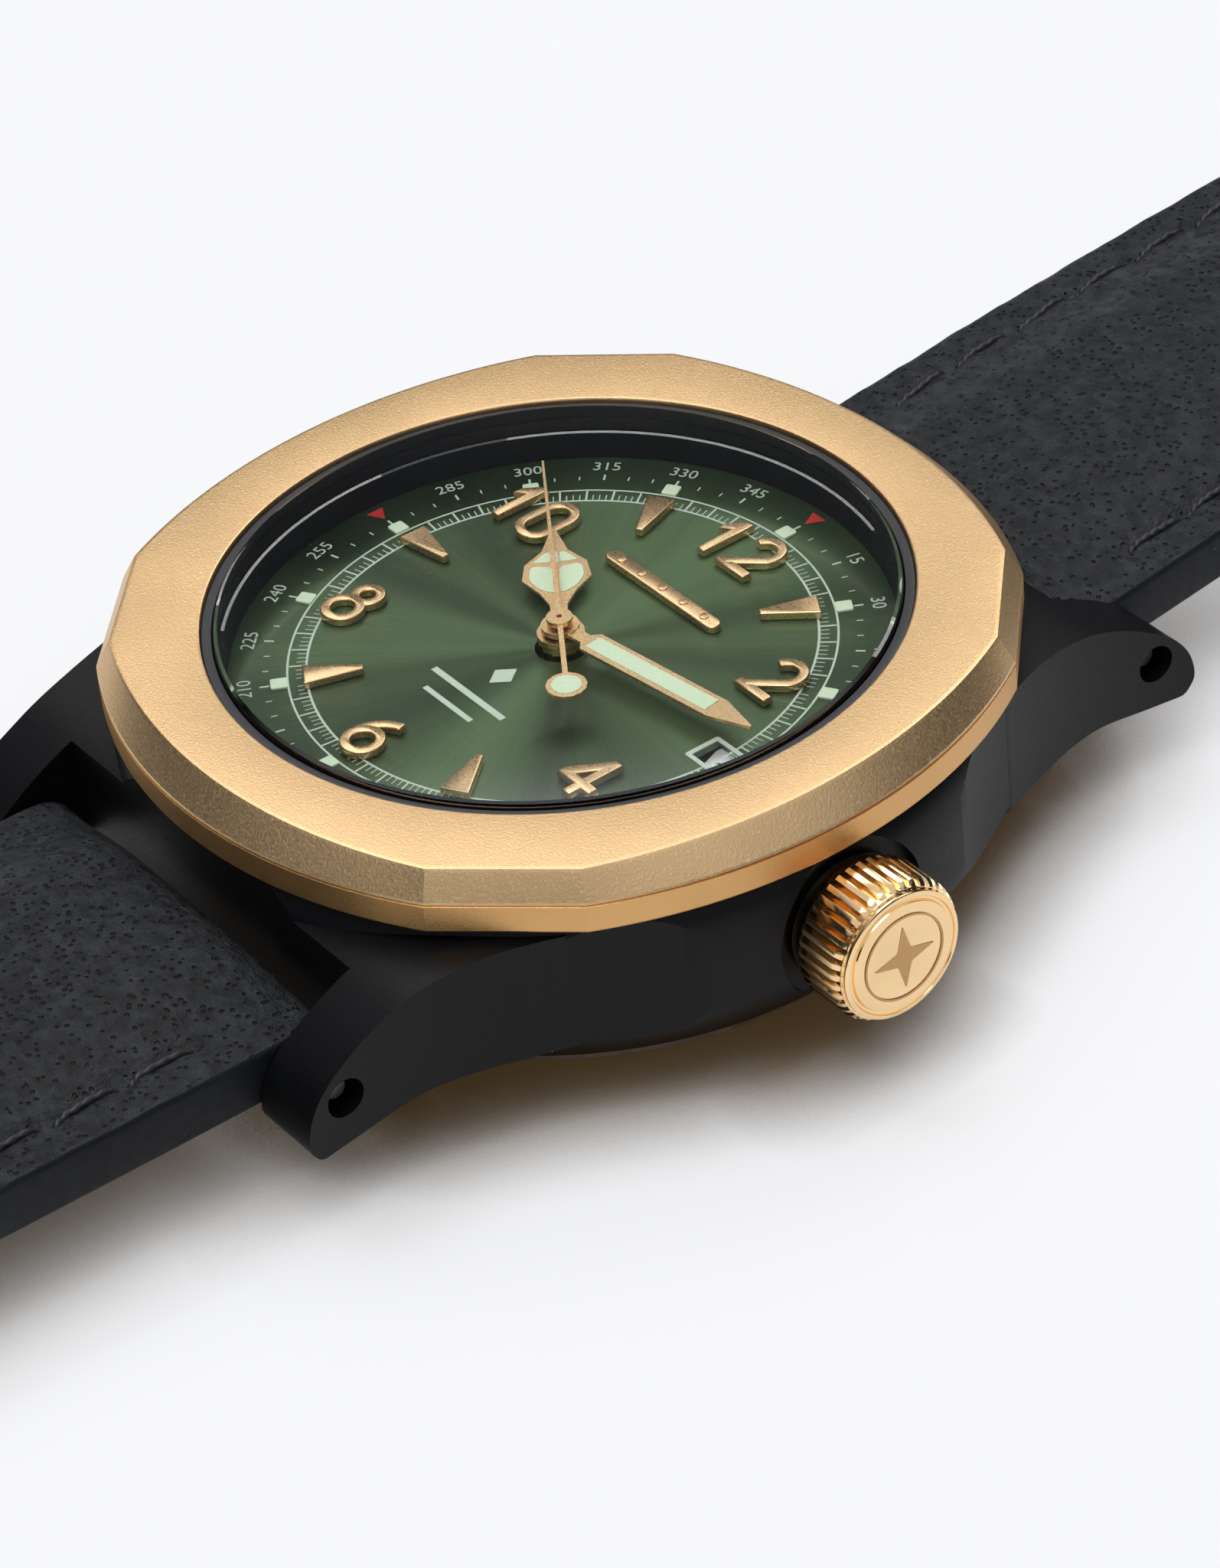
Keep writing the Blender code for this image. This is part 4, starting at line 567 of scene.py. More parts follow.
FINISH_MAKERS = {
    "bezel_blasted": lambda: finish_blasted(
        "bezel_blasted", tuple(colours().bezel), 0.40, 1.0, 0.012, 0.06, painted_glint=0.6
    ),
    # A darker, warmer copy of the bezel gold for its side wall: painted shade.
    "bezel_wall_painted_shade": lambda: finish_blasted(
        "bezel_wall_painted_shade", (0.66, 0.385, 0.155), 0.42, 1.0, 0.008, 0.08, painted_glint=0.2
    ),
    "case_blasted": lambda: finish_blasted(
        "case_blasted", tuple(colours().case), 0.44, 0.0, 0.005, 0.25, grain=0.09, Specular_IOR_Level=0.19
    ),
    "gold_polished": lambda: finish_polished("gold_polished", tuple(colours().polished_gold), 0.11),
    "gold_marker": lambda: finish_blasted(
        "gold_marker", (0.93, 0.64, 0.34), 0.30, 1.0, 0.0015, 0.06, grain=0.08
    ),
    # Near-black steel for the spring bars: painted shade for the dark inside of the lug holes.
    "steel_painted_shade": lambda: finish_brushed("steel_painted_shade", (0.10, 0.10, 0.11), 0.4),
    # Darker gold for the crown's mark: painted shade of a recess, though the mark stands slightly proud.
    "gold_mark_painted_shade": lambda: finish_blasted("gold_mark_painted_shade", (0.55, 0.33, 0.15), 0.5, 1.0, 0.01, 0.1),
    "steel_brushed": lambda: finish_brushed("steel_brushed", (0.56, 0.56, 0.58)),
    "steel_polished": lambda: finish_polished("steel_polished", (0.66, 0.66, 0.68), 0.16),
    "back_turned": lambda: finish_rays("back_turned", (0.56, 0.56, 0.58), 0.26, 2.0, 9.0),
    "plate_grained": lambda: finish_rays("plate_grained", (0.66, 0.64, 0.60), 0.3, 3.0, 6.0),
    "bridge_striped": lambda: finish_brushed(
        "bridge_striped", (0.66, 0.64, 0.60), 0.3, (0.2, 1.4, 1.0), 0.02
    ),
    "brass_wheel": lambda: finish_rays("brass_wheel", (0.78, 0.56, 0.24), 0.24, 2.0, 8.0),
    "rotor_grained": lambda: finish_rays("rotor_grained", (0.60, 0.60, 0.62), 0.26, 40.0, 0.2),
    "rubber_black": lambda: finish_moulded("rubber_black", (0.022, 0.022, 0.026), 0.42),
    # Black lacquer of the dial flange; also laid on the crystal's side wall as painted shade for the gap.
    "black_lacquer_and_gap_shade": lambda: finish_moulded(
        "black_lacquer_and_gap_shade", (0.003, 0.003, 0.004), 0.5, Specular_IOR_Level=0.25
    ),
    "holder_moulded": lambda: finish_moulded("holder_moulded", (0.62, 0.62, 0.58), 0.5),
    "dial_sunburst": finish_dial,
    "calf_black": finish_leather,
    "edge_paint": finish_leather_edge,
    "thread_black": finish_thread,
    "crystal_clear": finish_sapphire,
    "lume_paint": lambda: finish_paint("lume_paint", tuple(colours().lume), 0.7),
    "print_pale": lambda: finish_paint("print_pale", (0.50, 0.60, 0.47), 0.6),
    "print_dark": lambda: finish_paint("print_dark", (0.02, 0.02, 0.022), 0.6),
    "print_red": lambda: finish_paint("print_red", (0.45, 0.03, 0.025), 0.6),
    # The date ring's lacquer glows: painted light that lifts the date out of the shade under the window.
    "date_lacquer_painted_glow": lambda: finish_paint("date_lacquer_painted_glow", (0.78, 0.78, 0.76), 0.5, 0.35),
    "pale_table_painted_shadow": finish_table,
}


MADE_FINISHES = {}


def finish(name):
    """The named finish, made when it is first asked for."""
    if name not in MADE_FINISHES:
        MADE_FINISHES[name] = FINISH_MAKERS[name]()
    return MADE_FINISHES[name]


# ----------------------------------------------------------------------------
# Mesh building, in millimetres
# ----------------------------------------------------------------------------

def polar(radius, degrees):
    return (radius * math.cos(math.radians(degrees)), radius * math.sin(math.radians(degrees)))


def turned_by(points, degrees):
    c, s = math.cos(math.radians(degrees)), math.sin(math.radians(degrees))
    return [(x * c - y * s, x * s + y * c) for x, y in points]


def dial_angle(clockwise):
    return 90.0 - clockwise


def smooth(value):
    value = min(max(value, 0.0), 1.0)
    return value * value * (3.0 - 2.0 * value)


def eased(points, radius, steps=3, closed=True):
    """The same outline with each corner rounded off; radius is one number, or one for each point."""
    out = []
    count = len(points)
    for i, corner in enumerate(points):
        size = radius[i] if isinstance(radius, (list, tuple)) else radius
        if not size or (not closed and i in (0, count - 1)):
            out.append(corner)
            continue
        here, before, after = Vector(corner), Vector(points[i - 1]), Vector(points[(i + 1) % count])
        reach_in = min(size, (before - here).length * 0.45)
        reach_out = min(size, (after - here).length * 0.45)
        a = here + (before - here).normalized() * reach_in
        b = here + (after - here).normalized() * reach_out
        for k in range(steps + 1):
            t = k / steps
            out.append(tuple(a * (1 - t) ** 2 + here * 2 * t * (1 - t) + b * t * t))
    return out


def object_from(name, form, finishes, sharp=30.0, body=None, replaced=()):
    """Puts a bmesh that is in millimetres into the scene as a piece."""
    bmesh.ops.scale(form, vec=(MM, MM, MM), verts=form.verts)
    bmesh.ops.recalc_face_normals(form, faces=form.faces)
    mesh = bpy.data.meshes.new(name)
    form.to_mesh(mesh)
    form.free()
    made = bpy.data.objects.new(name, mesh)
    bpy.context.scene.collection.objects.link(made)
    dress(made, finishes, sharp)
    if body:
        settle_on(made, body, replaced)
    return made


def dress(made, finishes, sharp=30.0):
    """Gives an object its finishes; the faces keep their finish numbers."""
    if made.data.materials:
        made.data.materials.clear()
    for each in finishes:
        made.data.materials.append(finish(each))
    made.data.shade_smooth()
    made.data.set_sharp_from_angle(angle=math.radians(sharp))


def settle_on(made, body, replaced=()):
    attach(made, body)
    if replaced:
        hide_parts(*replaced)


def ring_faces(form, rings, closed):
    """Quads between rings of vertices; a ring of one vertex is a pole."""
    pairs = list(zip(rings, rings[1:] + rings[:1])) if closed else list(zip(rings, rings[1:]))
    count = max(len(ring) for ring in rings)
    for a, b in pairs:
        for i in range(count):
            j = (i + 1) % count
            corners = [a[i % len(a)], a[j % len(a)], b[j % len(b)], b[i % len(b)]]
            kept = []
            for corner in corners:
                if corner not in kept:
                    kept.append(corner)
            if len(kept) > 2:
                form.faces.new(kept)


def turned_form(profile, steps=192, closed=True, axis="Z", centre=(0.0, 0.0, 0.0)):
    """A form turned from (radius, height) points about Z or X through a centre."""
    form = bmesh.new()
    rings = []
    for radius, height in profile:
        ring = []
        for i in range(1 if radius == 0.0 else steps):
            a, b = polar(radius, 360.0 * i / steps)
            spot = (height, a, b) if axis == "X" else (a, b, height)
            ring.append(form.verts.new(Vector(spot) + Vector(centre)))
        rings.append(ring)
    ring_faces(form, rings, closed)
    return form


def loft_form(sections, closed=True):
    """A form through sections of equal length, each a list of (x, y, z)."""
    form = bmesh.new()
    rings = [[form.verts.new(point) for point in section] for section in sections]
    ring_faces(form, rings, closed)
    return form


def plate_form(outlines, low, high, rounding=0.0):
    """A flat form filled between two heights: the first outline is outside, the rest are holes."""
    curve = bpy.data.curves.new("outline", "CURVE")
    curve.dimensions = "2D"
    curve.fill_mode = "BOTH"
    curve.extrude = (high - low) / 2 - rounding
    curve.bevel_depth = rounding
    curve.bevel_resolution = 2
    curve.offset = -rounding
    for outline in outlines:
        spline = curve.splines.new("POLY")
        spline.points.add(len(outline) - 1)
        for point, (x, y) in zip(spline.points, outline):
            point.co = (x, y, 0.0, 1.0)
        spline.use_cyclic_u = True
    return form_of_curve(curve, Matrix.Translation((0.0, 0.0, (low + high) / 2)))


def form_of_curve(curve, place):
    """The evaluated shape of a curve as a bmesh."""
    holder = bpy.data.objects.new("holder", curve)
    bpy.context.scene.collection.objects.link(holder)
    bpy.context.view_layer.update()
    evaluated = holder.evaluated_get(bpy.context.evaluated_depsgraph_get())
    mesh = bpy.data.meshes.new_from_object(evaluated)
    form = bmesh.new()
    form.from_mesh(mesh)
    bmesh.ops.transform(form, matrix=place, verts=form.verts)
    bmesh.ops.remove_doubles(form, verts=form.verts, dist=1e-4)
    bpy.data.objects.remove(holder, do_unlink=True)
    bpy.data.meshes.remove(mesh)
    bpy.data.curves.remove(curve)
    return form


def merged(forms):
    """Several forms in one."""
    whole = bmesh.new()
    for form in forms:
        mesh = bpy.data.meshes.new("part")
        form.to_mesh(mesh)
        form.free()
        whole.from_mesh(mesh)
        bpy.data.meshes.remove(mesh)
    return whole


def cylinder_form(radius, start, end, axis, centre, sides=96):
    return turned_form([(0.0, start), (radius, start), (radius, end), (0.0, end)], sides, False, axis, centre)


def box_form(low, high):
    form = bmesh.new()
    bmesh.ops.create_cube(form, size=1.0)
    size = Vector(high) - Vector(low)
    bmesh.ops.scale(form, vec=size, verts=form.verts)
    bmesh.ops.translate(form, vec=(Vector(high) + Vector(low)) / 2, verts=form.verts)
    return form


def hidden(form):
    """A temporary object in metres for a Boolean."""
    made = object_from("cutting_form", form, ())
    made.hide_render = True
    return made


def applied(target):
    """Bakes a piece's modifiers into its mesh."""
    bpy.context.view_layer.update()
    evaluated = target.evaluated_get(bpy.context.evaluated_depsgraph_get())
    mesh = bpy.data.meshes.new_from_object(evaluated)
    used = [m.object for m in target.modifiers if m.type == "BOOLEAN"]
    target.modifiers.clear()
    target.data = mesh
    for other in used:
        bpy.data.objects.remove(other, do_unlink=True)
    return target


def boolean(target, form, operation):
    made = target.modifiers.new(operation.lower(), "BOOLEAN")
    made.operation = operation
    made.solver = "EXACT"
    made.object = hidden(form)


def soften(target, width=None, angle=28.0, segments=3):
    """Breaks the edges of a piece or of a CAD node with a small bevel."""
    bevel = target.modifiers.new("edge_break", "BEVEL")
    bevel.width = (width or sizes().edge_break) * MM
    bevel.segments = segments
    bevel.limit_method = "ANGLE"
    bevel.angle_limit = math.radians(angle)
    bevel.harden_normals = True
    return target


def line_form(lines, radius, closed=False):
    """Round tubes along lists of points."""
    curve = bpy.data.curves.new("lines", "CURVE")
    curve.dimensions = "3D"
    curve.bevel_depth = radius
    curve.bevel_resolution = 3
    curve.use_fill_caps = True
    for line in lines:
        spline = curve.splines.new("POLY")
        spline.points.add(len(line) - 1)
        for point, spot in zip(spline.points, line):
            point.co = (*spot, 1.0)
        spline.use_cyclic_u = closed
    return form_of_curve(curve, Matrix.Identity(4))


def text_form(words, size, place, thickness=0.006):
    """Flat printed figures."""
    curve = bpy.data.curves.new("figures", "FONT")
    curve.body = words
    curve.size = size
    curve.align_x = "CENTER"
    curve.align_y = "CENTER"
    curve.extrude = thickness
    curve.resolution_u = 3
    return form_of_curve(curve, place)


# ----------------------------------------------------------------------------
# Case and bezel
# ----------------------------------------------------------------------------

BEZEL_TURN = 2.0
CORNER_HALF = 9.5
TOP_CORNER, TOP_SIDE = 18.25, 17.3
WALL_CORNER, WALL_SIDE = 18.95, 18.45
BEZEL_SHOULDER = 11.1
BORE = 14.57
SEAT = 15.65


def bezel_outline(corner_radius, side_radius, per_side=40, per_flat=8):
    """Four bowed sides joined by short straight flats across the diagonals."""
    x, y = polar(corner_radius, 45.0 - CORNER_HALF)
    centre = (side_radius**2 - x * x - y * y) / (2 * (side_radius - x))
    bow = side_radius - centre
    sweep = math.degrees(math.asin(y / bow))
    outline = []
    for quarter in range(4):
        side = [polar(bow, sweep * (2 * i / per_side - 1)) for i in range(per_side + 1)]
        side = turned_by([(centre + a, b) for a, b in side], 90.0 * quarter)
        after = turned_by([(x, -y)], 90.0 * (quarter + 1))[0]
        last = side[-1]
        flat = [
            (last[0] + (after[0] - last[0]) * k / per_flat, last[1] + (after[1] - last[1]) * k / per_flat)
            for k in range(1, per_flat)
        ]
        outline += side + flat
    return turned_by(outline, BEZEL_TURN)


def build_bezel():
    wall = bezel_outline(WALL_CORNER, WALL_SIDE)
    crest = bezel_outline(TOP_CORNER, TOP_SIDE)
    angles = [math.degrees(math.atan2(b, a)) for a, b in wall]
    bore = [polar(BORE, a) for a in angles]
    seat = [polar(SEAT, a) for a in angles]
    outlines = (wall, crest, bore, seat)
    top, shoulder = BEZEL_TOP, BEZEL_SHOULDER
    # Each step is how far it lies from wall (0) to crest (1) to bore (2) to seat (3), and its height.
    steps = [
        (0.03, BEZEL_BASE), (0.0, BEZEL_BASE + 0.06), (0.0, shoulder - 0.17), (0.085, shoulder - 0.14),
        (0.085, shoulder - 0.09), (0.012, shoulder - 0.05),
        (0.05, shoulder + 0.04), (0.12, shoulder + 0.13), (0.86, top - 0.16), (0.93, top - 0.085),
        (0.985, top - 0.03),
        (1.025, top - 0.006), (1.05, top), (1.95, top), (1.975, top - 0.006), (1.992, top - 0.03),
        (2.0, top - 0.08), (2.0, BEZEL_BASE + 1.2), (3.0, BEZEL_BASE + 1.2), (3.0, BEZEL_BASE),
    ]
    sections = []
    for share, z in steps:
        index = min(int(share), 2)
        t = share - index
        a, b = outlines[index], outlines[index + 1]
        sections.append([(p[0] + (q[0] - p[0]) * t, p[1] + (q[1] - p[1]) * t, z) for p, q in zip(a, b)])
    form = loft_form(sections)
    form.normal_update()
    # Faces of the side wall below the shoulder take the darker gold: painted shade.
    for face in form.faces:
        middle = face.calc_center_median()
        face.material_index = 1 if middle.z < shoulder - 0.06 and middle.xy.length > SEAT + 0.5 else 0
    object_from("bezel_ring", form, ("bezel_blasted", "bezel_wall_painted_shade"), 11.0, "case", ("bezel",))


def case_profile():
    flank = [
        (15.6, 10.9), (15.6, CASE_TOP), (18.2, CASE_TOP), (18.65, CASE_TOP - 0.75), (18.85, CASE_TOP - 2.0),
        (18.85, 4.7), (18.35, 3.9), (16.1, 1.4), (15.3, 1.1),
    ]
    eased_flank = eased(flank, [0.1, 0.0, 0.3, 0.6, 0.8, 0.8, 0.7, 0.3, 0.1], 5, closed=False)
    return [(0.0, 10.9)] + eased_flank + [(0.0, 1.1)]


def lug_side_outline():
    tip = LUG_TIP
    one_end = [
        (tip - 8.0, CASE_TOP - 0.35), (tip - 5.1, CASE_TOP - 0.9), (tip - 2.8, CASE_TOP - 2.0),
        (tip - 1.0, CASE_TOP - 3.2), (tip - 0.25, CASE_TOP - 4.2), (tip, CASE_TOP - 5.1), (tip, BAR_Z - 1.6),
        (tip - 0.5, BAR_Z - 2.25), (tip - 2.6, BAR_Z - 2.1), (tip - 5.6, BAR_Z - 1.5),
        (tip - 9.0, BAR_Z - 1.7),
    ]
    outline = one_end + [(-y, z) for y, z in reversed(one_end)]
    reach = [1.5, 1.4, 1.2, 0.8, 0.6, 0.5, 0.3, 0.3, 1.2, 1.5, 0.0]
    return eased(outline, reach + reach[::-1], 6)


def build_case():
    made = object_from("case_body", turned_form(case_profile(), 240, False), ())
    side = plate_form([lug_side_outline()], -18.8, 18.8)
    bmesh.ops.transform(
        side, matrix=Matrix(((0, 0, 1, 0), (1, 0, 0, 0), (0, 1, 0, 0), (0, 0, 0, 1))), verts=side.verts
    )
    lugs = object_from("lug_form", side, ())
    half_tip, half_root, root = 13.6, 14.9, 12.0
    plan = [(half_tip, -LUG_TIP), (half_root, -root), (half_root, root), (half_tip, LUG_TIP)]
    plan += [(-x, y) for x, y in reversed(plan)]
    boolean(lugs, plate_form([plan], 0.0, 13.0), "INTERSECT")
    applied(lugs)
    union = made.modifiers.new("union", "BOOLEAN")
    union.operation, union.solver, union.object = "UNION", "EXACT", lugs
    lugs.hide_render = True
    bore = [(0.0, 12.0), (BORE, 12.0), (BORE, 10.3), (14.3, 10.3), (14.3, 0.0), (0.0, 0.0)]
    boolean(made, turned_form(bore, 192, False), "DIFFERENCE")
    gap = [box_form((-10.0, s * 20.7 - 3.0, 0.0), (10.0, s * 20.7 + 3.0, 14.0)) for s in (1, -1)]
    boolean(made, merged(gap), "DIFFERENCE")
    scoops = [
        cylinder_form(21.0, -1.0, 9.5, "Z", (x, y, 0.0), 360) for x in (34.1, -34.1) for y in (19.5, -19.5)
    ]
    for scoop in scoops:
        boolean(made, scoop, "DIFFERENCE")
    holes = [cylinder_form(0.85, -20.0, 20.0, "X", (0.0, s * BAR_Y, BAR_Z), 48) for s in (1, -1)]
    boolean(made, merged(holes), "DIFFERENCE")
    boolean(made, cylinder_form(3.5, CROWN_START - 0.2, 21.0, "X", (0.0, 0.0, CROWN_Z), 96), "DIFFERENCE")
    boolean(made, cylinder_form(1.3, 12.0, 21.0, "X", (0.0, 0.0, CROWN_Z), 48), "DIFFERENCE")
    applied(made)
    dress(made, ("case_blasted",), 24.0)
    soften(made, 0.16, 24.0)
    settle_on(made, "case", ("mid_case",))


# ----------------------------------------------------------------------------
# Crown
# ----------------------------------------------------------------------------

CROWN_TEETH = 38


def build_crown():
    root, face = CROWN_RADIUS - 0.34, CROWN_RADIUS - 0.42
    start, end = CROWN_START, CROWN_END

    def knurl(x, full):
        """One section of the coin edge; full is 0 at a plain ring and 1 at the whole depth of a tooth."""
        points = []
        for tooth in range(CROWN_TEETH):
            for share, height in (
                (0.0, 0.0), (0.10, 0.25), (0.24, 1.0), (0.38, 1.0), (0.70, 0.9), (0.86, 0.3)
            ):
                radius = root + (CROWN_RADIUS - root) * height * full
                y, z = polar(radius, 360.0 * (tooth + share) / CROWN_TEETH)
                points.append((x, y, z + CROWN_Z))
        return points

    sections = [
        knurl(start + 0.6, 0.0), knurl(start + 0.72, 0.55), knurl(start + 0.95, 1.0), knurl(end - 0.75, 1.0)
    ]
    sections += [knurl(end - 0.52, 0.72), knurl(end - 0.36, 0.3), knurl(end - 0.30, 0.0)]
    edge = loft_form(sections, closed=False)
    collar = eased(
        [(1.62, start), (face + 0.05, start), (face + 0.05, start + 0.8), (1.62, start + 0.8)], 0.12, 3
    )
    disc = eased(
        [
            (face - 0.16, end - 0.50), (face + 0.1, end - 0.42), (face + 0.12, end - 0.16),
            (face - 0.08, end - 0.10), (face - 0.12, end - 0.2), (face - 0.24, end - 0.2),
            (face - 0.28, end - 0.06), (1.6, end - 0.02),
        ],
        0.03, 2, closed=False,
    ) + [(0.0, end)]
    back = [(0.0, end - 0.6), (face + 0.2, end - 0.6), (face + 0.2, end - 0.35), (0.0, end - 0.35)]
    centre = (0.0, 0.0, CROWN_Z)
    forms = [edge, turned_form(collar, 128, True, "X", centre), turned_form(disc, 128, False, "X", centre)]
    forms.append(turned_form(back, 96, False, "X", centre))
    object_from(
        "crown_head", merged(forms), ("gold_polished",), 24.0, "crown_and_stem", ("crown",)
    )

    star = []
    for i in range(8):
        radius = 1.5 if i % 2 == 0 else 0.48
        star.append(polar(radius, 45.0 * i))
    ring = [polar(1.95, 7.5 * i) for i in range(48)]
    ring_in = [polar(1.85, 7.5 * i) for i in range(48)]
    mark = merged([plate_form([eased(star, 0.1)], 0.0, 0.02), plate_form([ring, ring_in], 0.0, 0.02)])
    stand = Matrix(((0, 0, 1, end - 0.015), (1, 0, 0, 0), (0, 1, 0, CROWN_Z), (0, 0, 0, 1)))
    bmesh.ops.transform(mark, matrix=stand, verts=mark.verts)
    # The mark's darker gold is painted shade, as of an engraved recess.
    object_from("crown_mark", mark, ("gold_mark_painted_shade",), 30.0, "crown_and_stem")


# ----------------------------------------------------------------------------
# Dial printing, luminous paint and the date
# ----------------------------------------------------------------------------

def flat_quad(x0, x1, half0, half1, degrees):
    """A radial mark between two radii with a half width at each."""
    return turned_by([(x0, -half0), (x1, -half1), (x1, half1), (x0, half0)], degrees)


def sheet_form(outlines, z):
    form = bmesh.new()
    for outline in outlines:
        form.faces.new([form.verts.new((x, y, z)) for x, y in outline])
    return form


def band(inner, outer, z, steps=180):
    form = bmesh.new()
    rings = [
        [form.verts.new((*polar(r, 360.0 * i / steps), z)) for i in range(steps)] for r in (inner, outer)
    ]
    ring_faces(form, rings, False)
    return form


# Distances from the middle of the dial, in millimetres
DEGREE_START, DEGREE_SHORT, DEGREE_LONG = 12.05, 12.32, 12.45
DEGREE_FIGURES = 13.05
RED_START, RED_END = 12.65, 13.45
SQUARE_START, SQUARE_END, SQUARE_HALF = 11.3, 12.0, 0.34
WINDOW_START, WINDOW_END, WINDOW_HALF = 9.3, 11.35, 0.85
DATE_FIGURES = 10.3


def build_dial_print():
    z = DIAL_TOP + 0.012
    track = sizes().track_radius
    marks = []
    for i in range(240):
        if i % 20 == 0:
            continue
        major = i % 4 == 0
        outer = track + (0.72 if major else 0.42)
        half = 0.045 if major else 0.022
        marks.append(flat_quad(track + 0.05, outer, half, half, 1.5 * i))
    rings = [band(track - 0.05, track + 0.05, z), band(track + 0.74, track + 0.83, z)]
    outer_marks = [flat_quad(DEGREE_START, DEGREE_SHORT, 0.03, 0.03, 5.0 * i) for i in range(72) if i % 3]
    outer_marks += [flat_quad(DEGREE_START, DEGREE_LONG, 0.05, 0.05, 15.0 * i) for i in range(24)]
    forms = rings + [sheet_form(marks + outer_marks, z)]
    for i in range(24):
        if i % 6 == 0:
            continue
        angle = dial_angle(15.0 * i)
        x, y = polar(DEGREE_FIGURES, angle)
        place = Matrix.Translation((x, y, z)) @ Matrix.Rotation(math.radians(angle - 90.0), 4, "Z")
        forms.append(text_form(str(15 * i), 0.85, place, 0.002))
    # A plain lozenge and two bars stand where a dial carries its printing.
    forms.append(sheet_form([[(0.0, -2.3), (-0.55, -3.0), (0.0, -3.7), (0.55, -3.0)]], z))
    forms.append(sheet_form([[(-2.4, -4.6), (-2.4, -4.9), (2.4, -4.9), (2.4, -4.6)]], z))
    forms.append(sheet_form([[(-1.6, -5.65), (-1.6, -5.9), (1.6, -5.9), (1.6, -5.65)]], z))
    object_from("dial_printing", merged(forms), ("print_pale",), 30.0, "case")

    reds = [flat_quad(RED_START, RED_END, 0.0, 0.42, dial_angle(90.0 * i)) for i in range(4)]
    object_from("dial_red_marks", sheet_form(reds, z), ("print_red",), 30.0, "case")

    squares = []
    for hour in range(12):
        outline = flat_quad(SQUARE_START, SQUARE_END, SQUARE_HALF, SQUARE_HALF, dial_angle(30.0 * hour))
        squares.append(plate_form([eased(outline, 0.1)], DIAL_TOP + 0.01, DIAL_TOP + 0.10))
    object_from("hour_squares", merged(squares), ("lume_paint",), 30.0, "case")

    x0, x1, half = WINDOW_START, WINDOW_END, WINDOW_HALF
    frame_out = [(x0, -half), (x1, -half), (x1, half), (x0, half)]
    frame_in = [
        (x0 + 0.22, -half + 0.2), (x1 - 0.22, -half + 0.2), (x1 - 0.22, half - 0.2), (x0 + 0.22, half - 0.2)
    ]
    window = plate_form([eased(frame_out, 0.12), frame_in], DIAL_TOP + 0.005, DIAL_TOP + 0.06)
    object_from("date_window_rim", window, ("print_pale",), 30.0, "case")

    ring_top = corner_mm("date_ring", 1, 2)
    numbers = []
    for day in range(31):
        turn = Matrix.Rotation(math.radians(-360.0 * (day - 21) / 31), 4, "Z")
        place = turn @ Matrix.Translation((DATE_FIGURES, 0.0, ring_top + 0.006))
        numbers.append(text_form(str(day + 1), 1.35, place, 0.002))
    object_from("date_numbers", merged(numbers), ("print_dark",), 30.0, "date_disc")


def inset_on_hand(name, outlines, hand, clockwise, body, lift=0.03):
    """Luminous paint laid in a hand; outlines point along +X."""
    top = HAND_TOPS[hand] - 0.06
    angle = dial_angle(clockwise)
    forms = [plate_form([turned_by(outline, angle)], top - 0.05, top + lift) for outline in outlines]
    object_from(name, merged(forms), ("lume_paint",), 30.0, body)


HOUR_TURN, MINUTE_TURN, SECONDS_TURN = 304.0, 82.5, 303.0


def build_hands():
    for hand in HAND_TOPS:
        node = NODES[hand]
        node.data.materials.clear()
        node.data.materials.append(finish("gold_marker"))
        soften(node, 0.035, 30.0, 2)
    minute = [[(1.9, -0.4), (8.7, -0.4), (8.7, 0.4), (1.9, 0.4)]]
    inset_on_hand("minute_lume", minute, "minute_hand", MINUTE_TURN, "minutes_train")
    lobe = eased([(2.75, 0.12), (3.2, 0.78), (3.9, 1.16), (4.85, 1.06), (4.7, 0.14), (3.8, 0.12)], 0.3, 4)
    neck = [(5.0, -0.14), (5.75, -0.1), (5.75, 0.1), (5.0, 0.14)]
    crown_patch = eased([(5.05, 0.2), (5.1, 0.95), (5.75, 0.42), (5.75, 0.2)], 0.1)
    hour = [
        lobe, [(x, -y) for x, y in reversed(lobe)], neck, crown_patch,
        [(x, -y) for x, y in reversed(crown_patch)]
    ]
    inset_on_hand("hour_lume", hour, "hour_hand", HOUR_TURN, "hours_train")
    disc = [polar(0.62, 15.0 * i) for i in range(24)]
    seconds = [[(x - 4.7, y) for x, y in disc]]
    inset_on_hand("seconds_lume", seconds, "seconds_hand", SECONDS_TURN, "seconds_train")


def arc(centre, radius, start, end, count):
    angles = [start + (end - start) * i / (count - 1) for i in range(count)]
    return [(centre[0] + x, centre[1] + y) for x, y in (polar(radius, a) for a in angles)]


def stroke(points, width, closed=False):
    """The outlines of an even band along a line of points: one outline, or two for a closed line."""
    left, right = [], []
    count = len(points)
    for i, (x, y) in enumerate(points):
        before = points[i - 1] if closed or i > 0 else points[i]
        after = points[(i + 1) % count] if closed or i < count - 1 else points[i]
        dx, dy = after[0] - before[0], after[1] - before[1]
        reach = width / 2 / math.hypot(dx, dy)
        left.append((x - dy * reach, y + dx * reach))
        right.append((x + dy * reach, y - dx * reach))
    return [right, left] if closed else [left + right[::-1]]


FIGURE_HEIGHT = 2.7
FIGURE_UNIT = FIGURE_HEIGHT / 0.74
FIGURE_STROKE = 0.46
FIGURE_RADIUS = 9.4


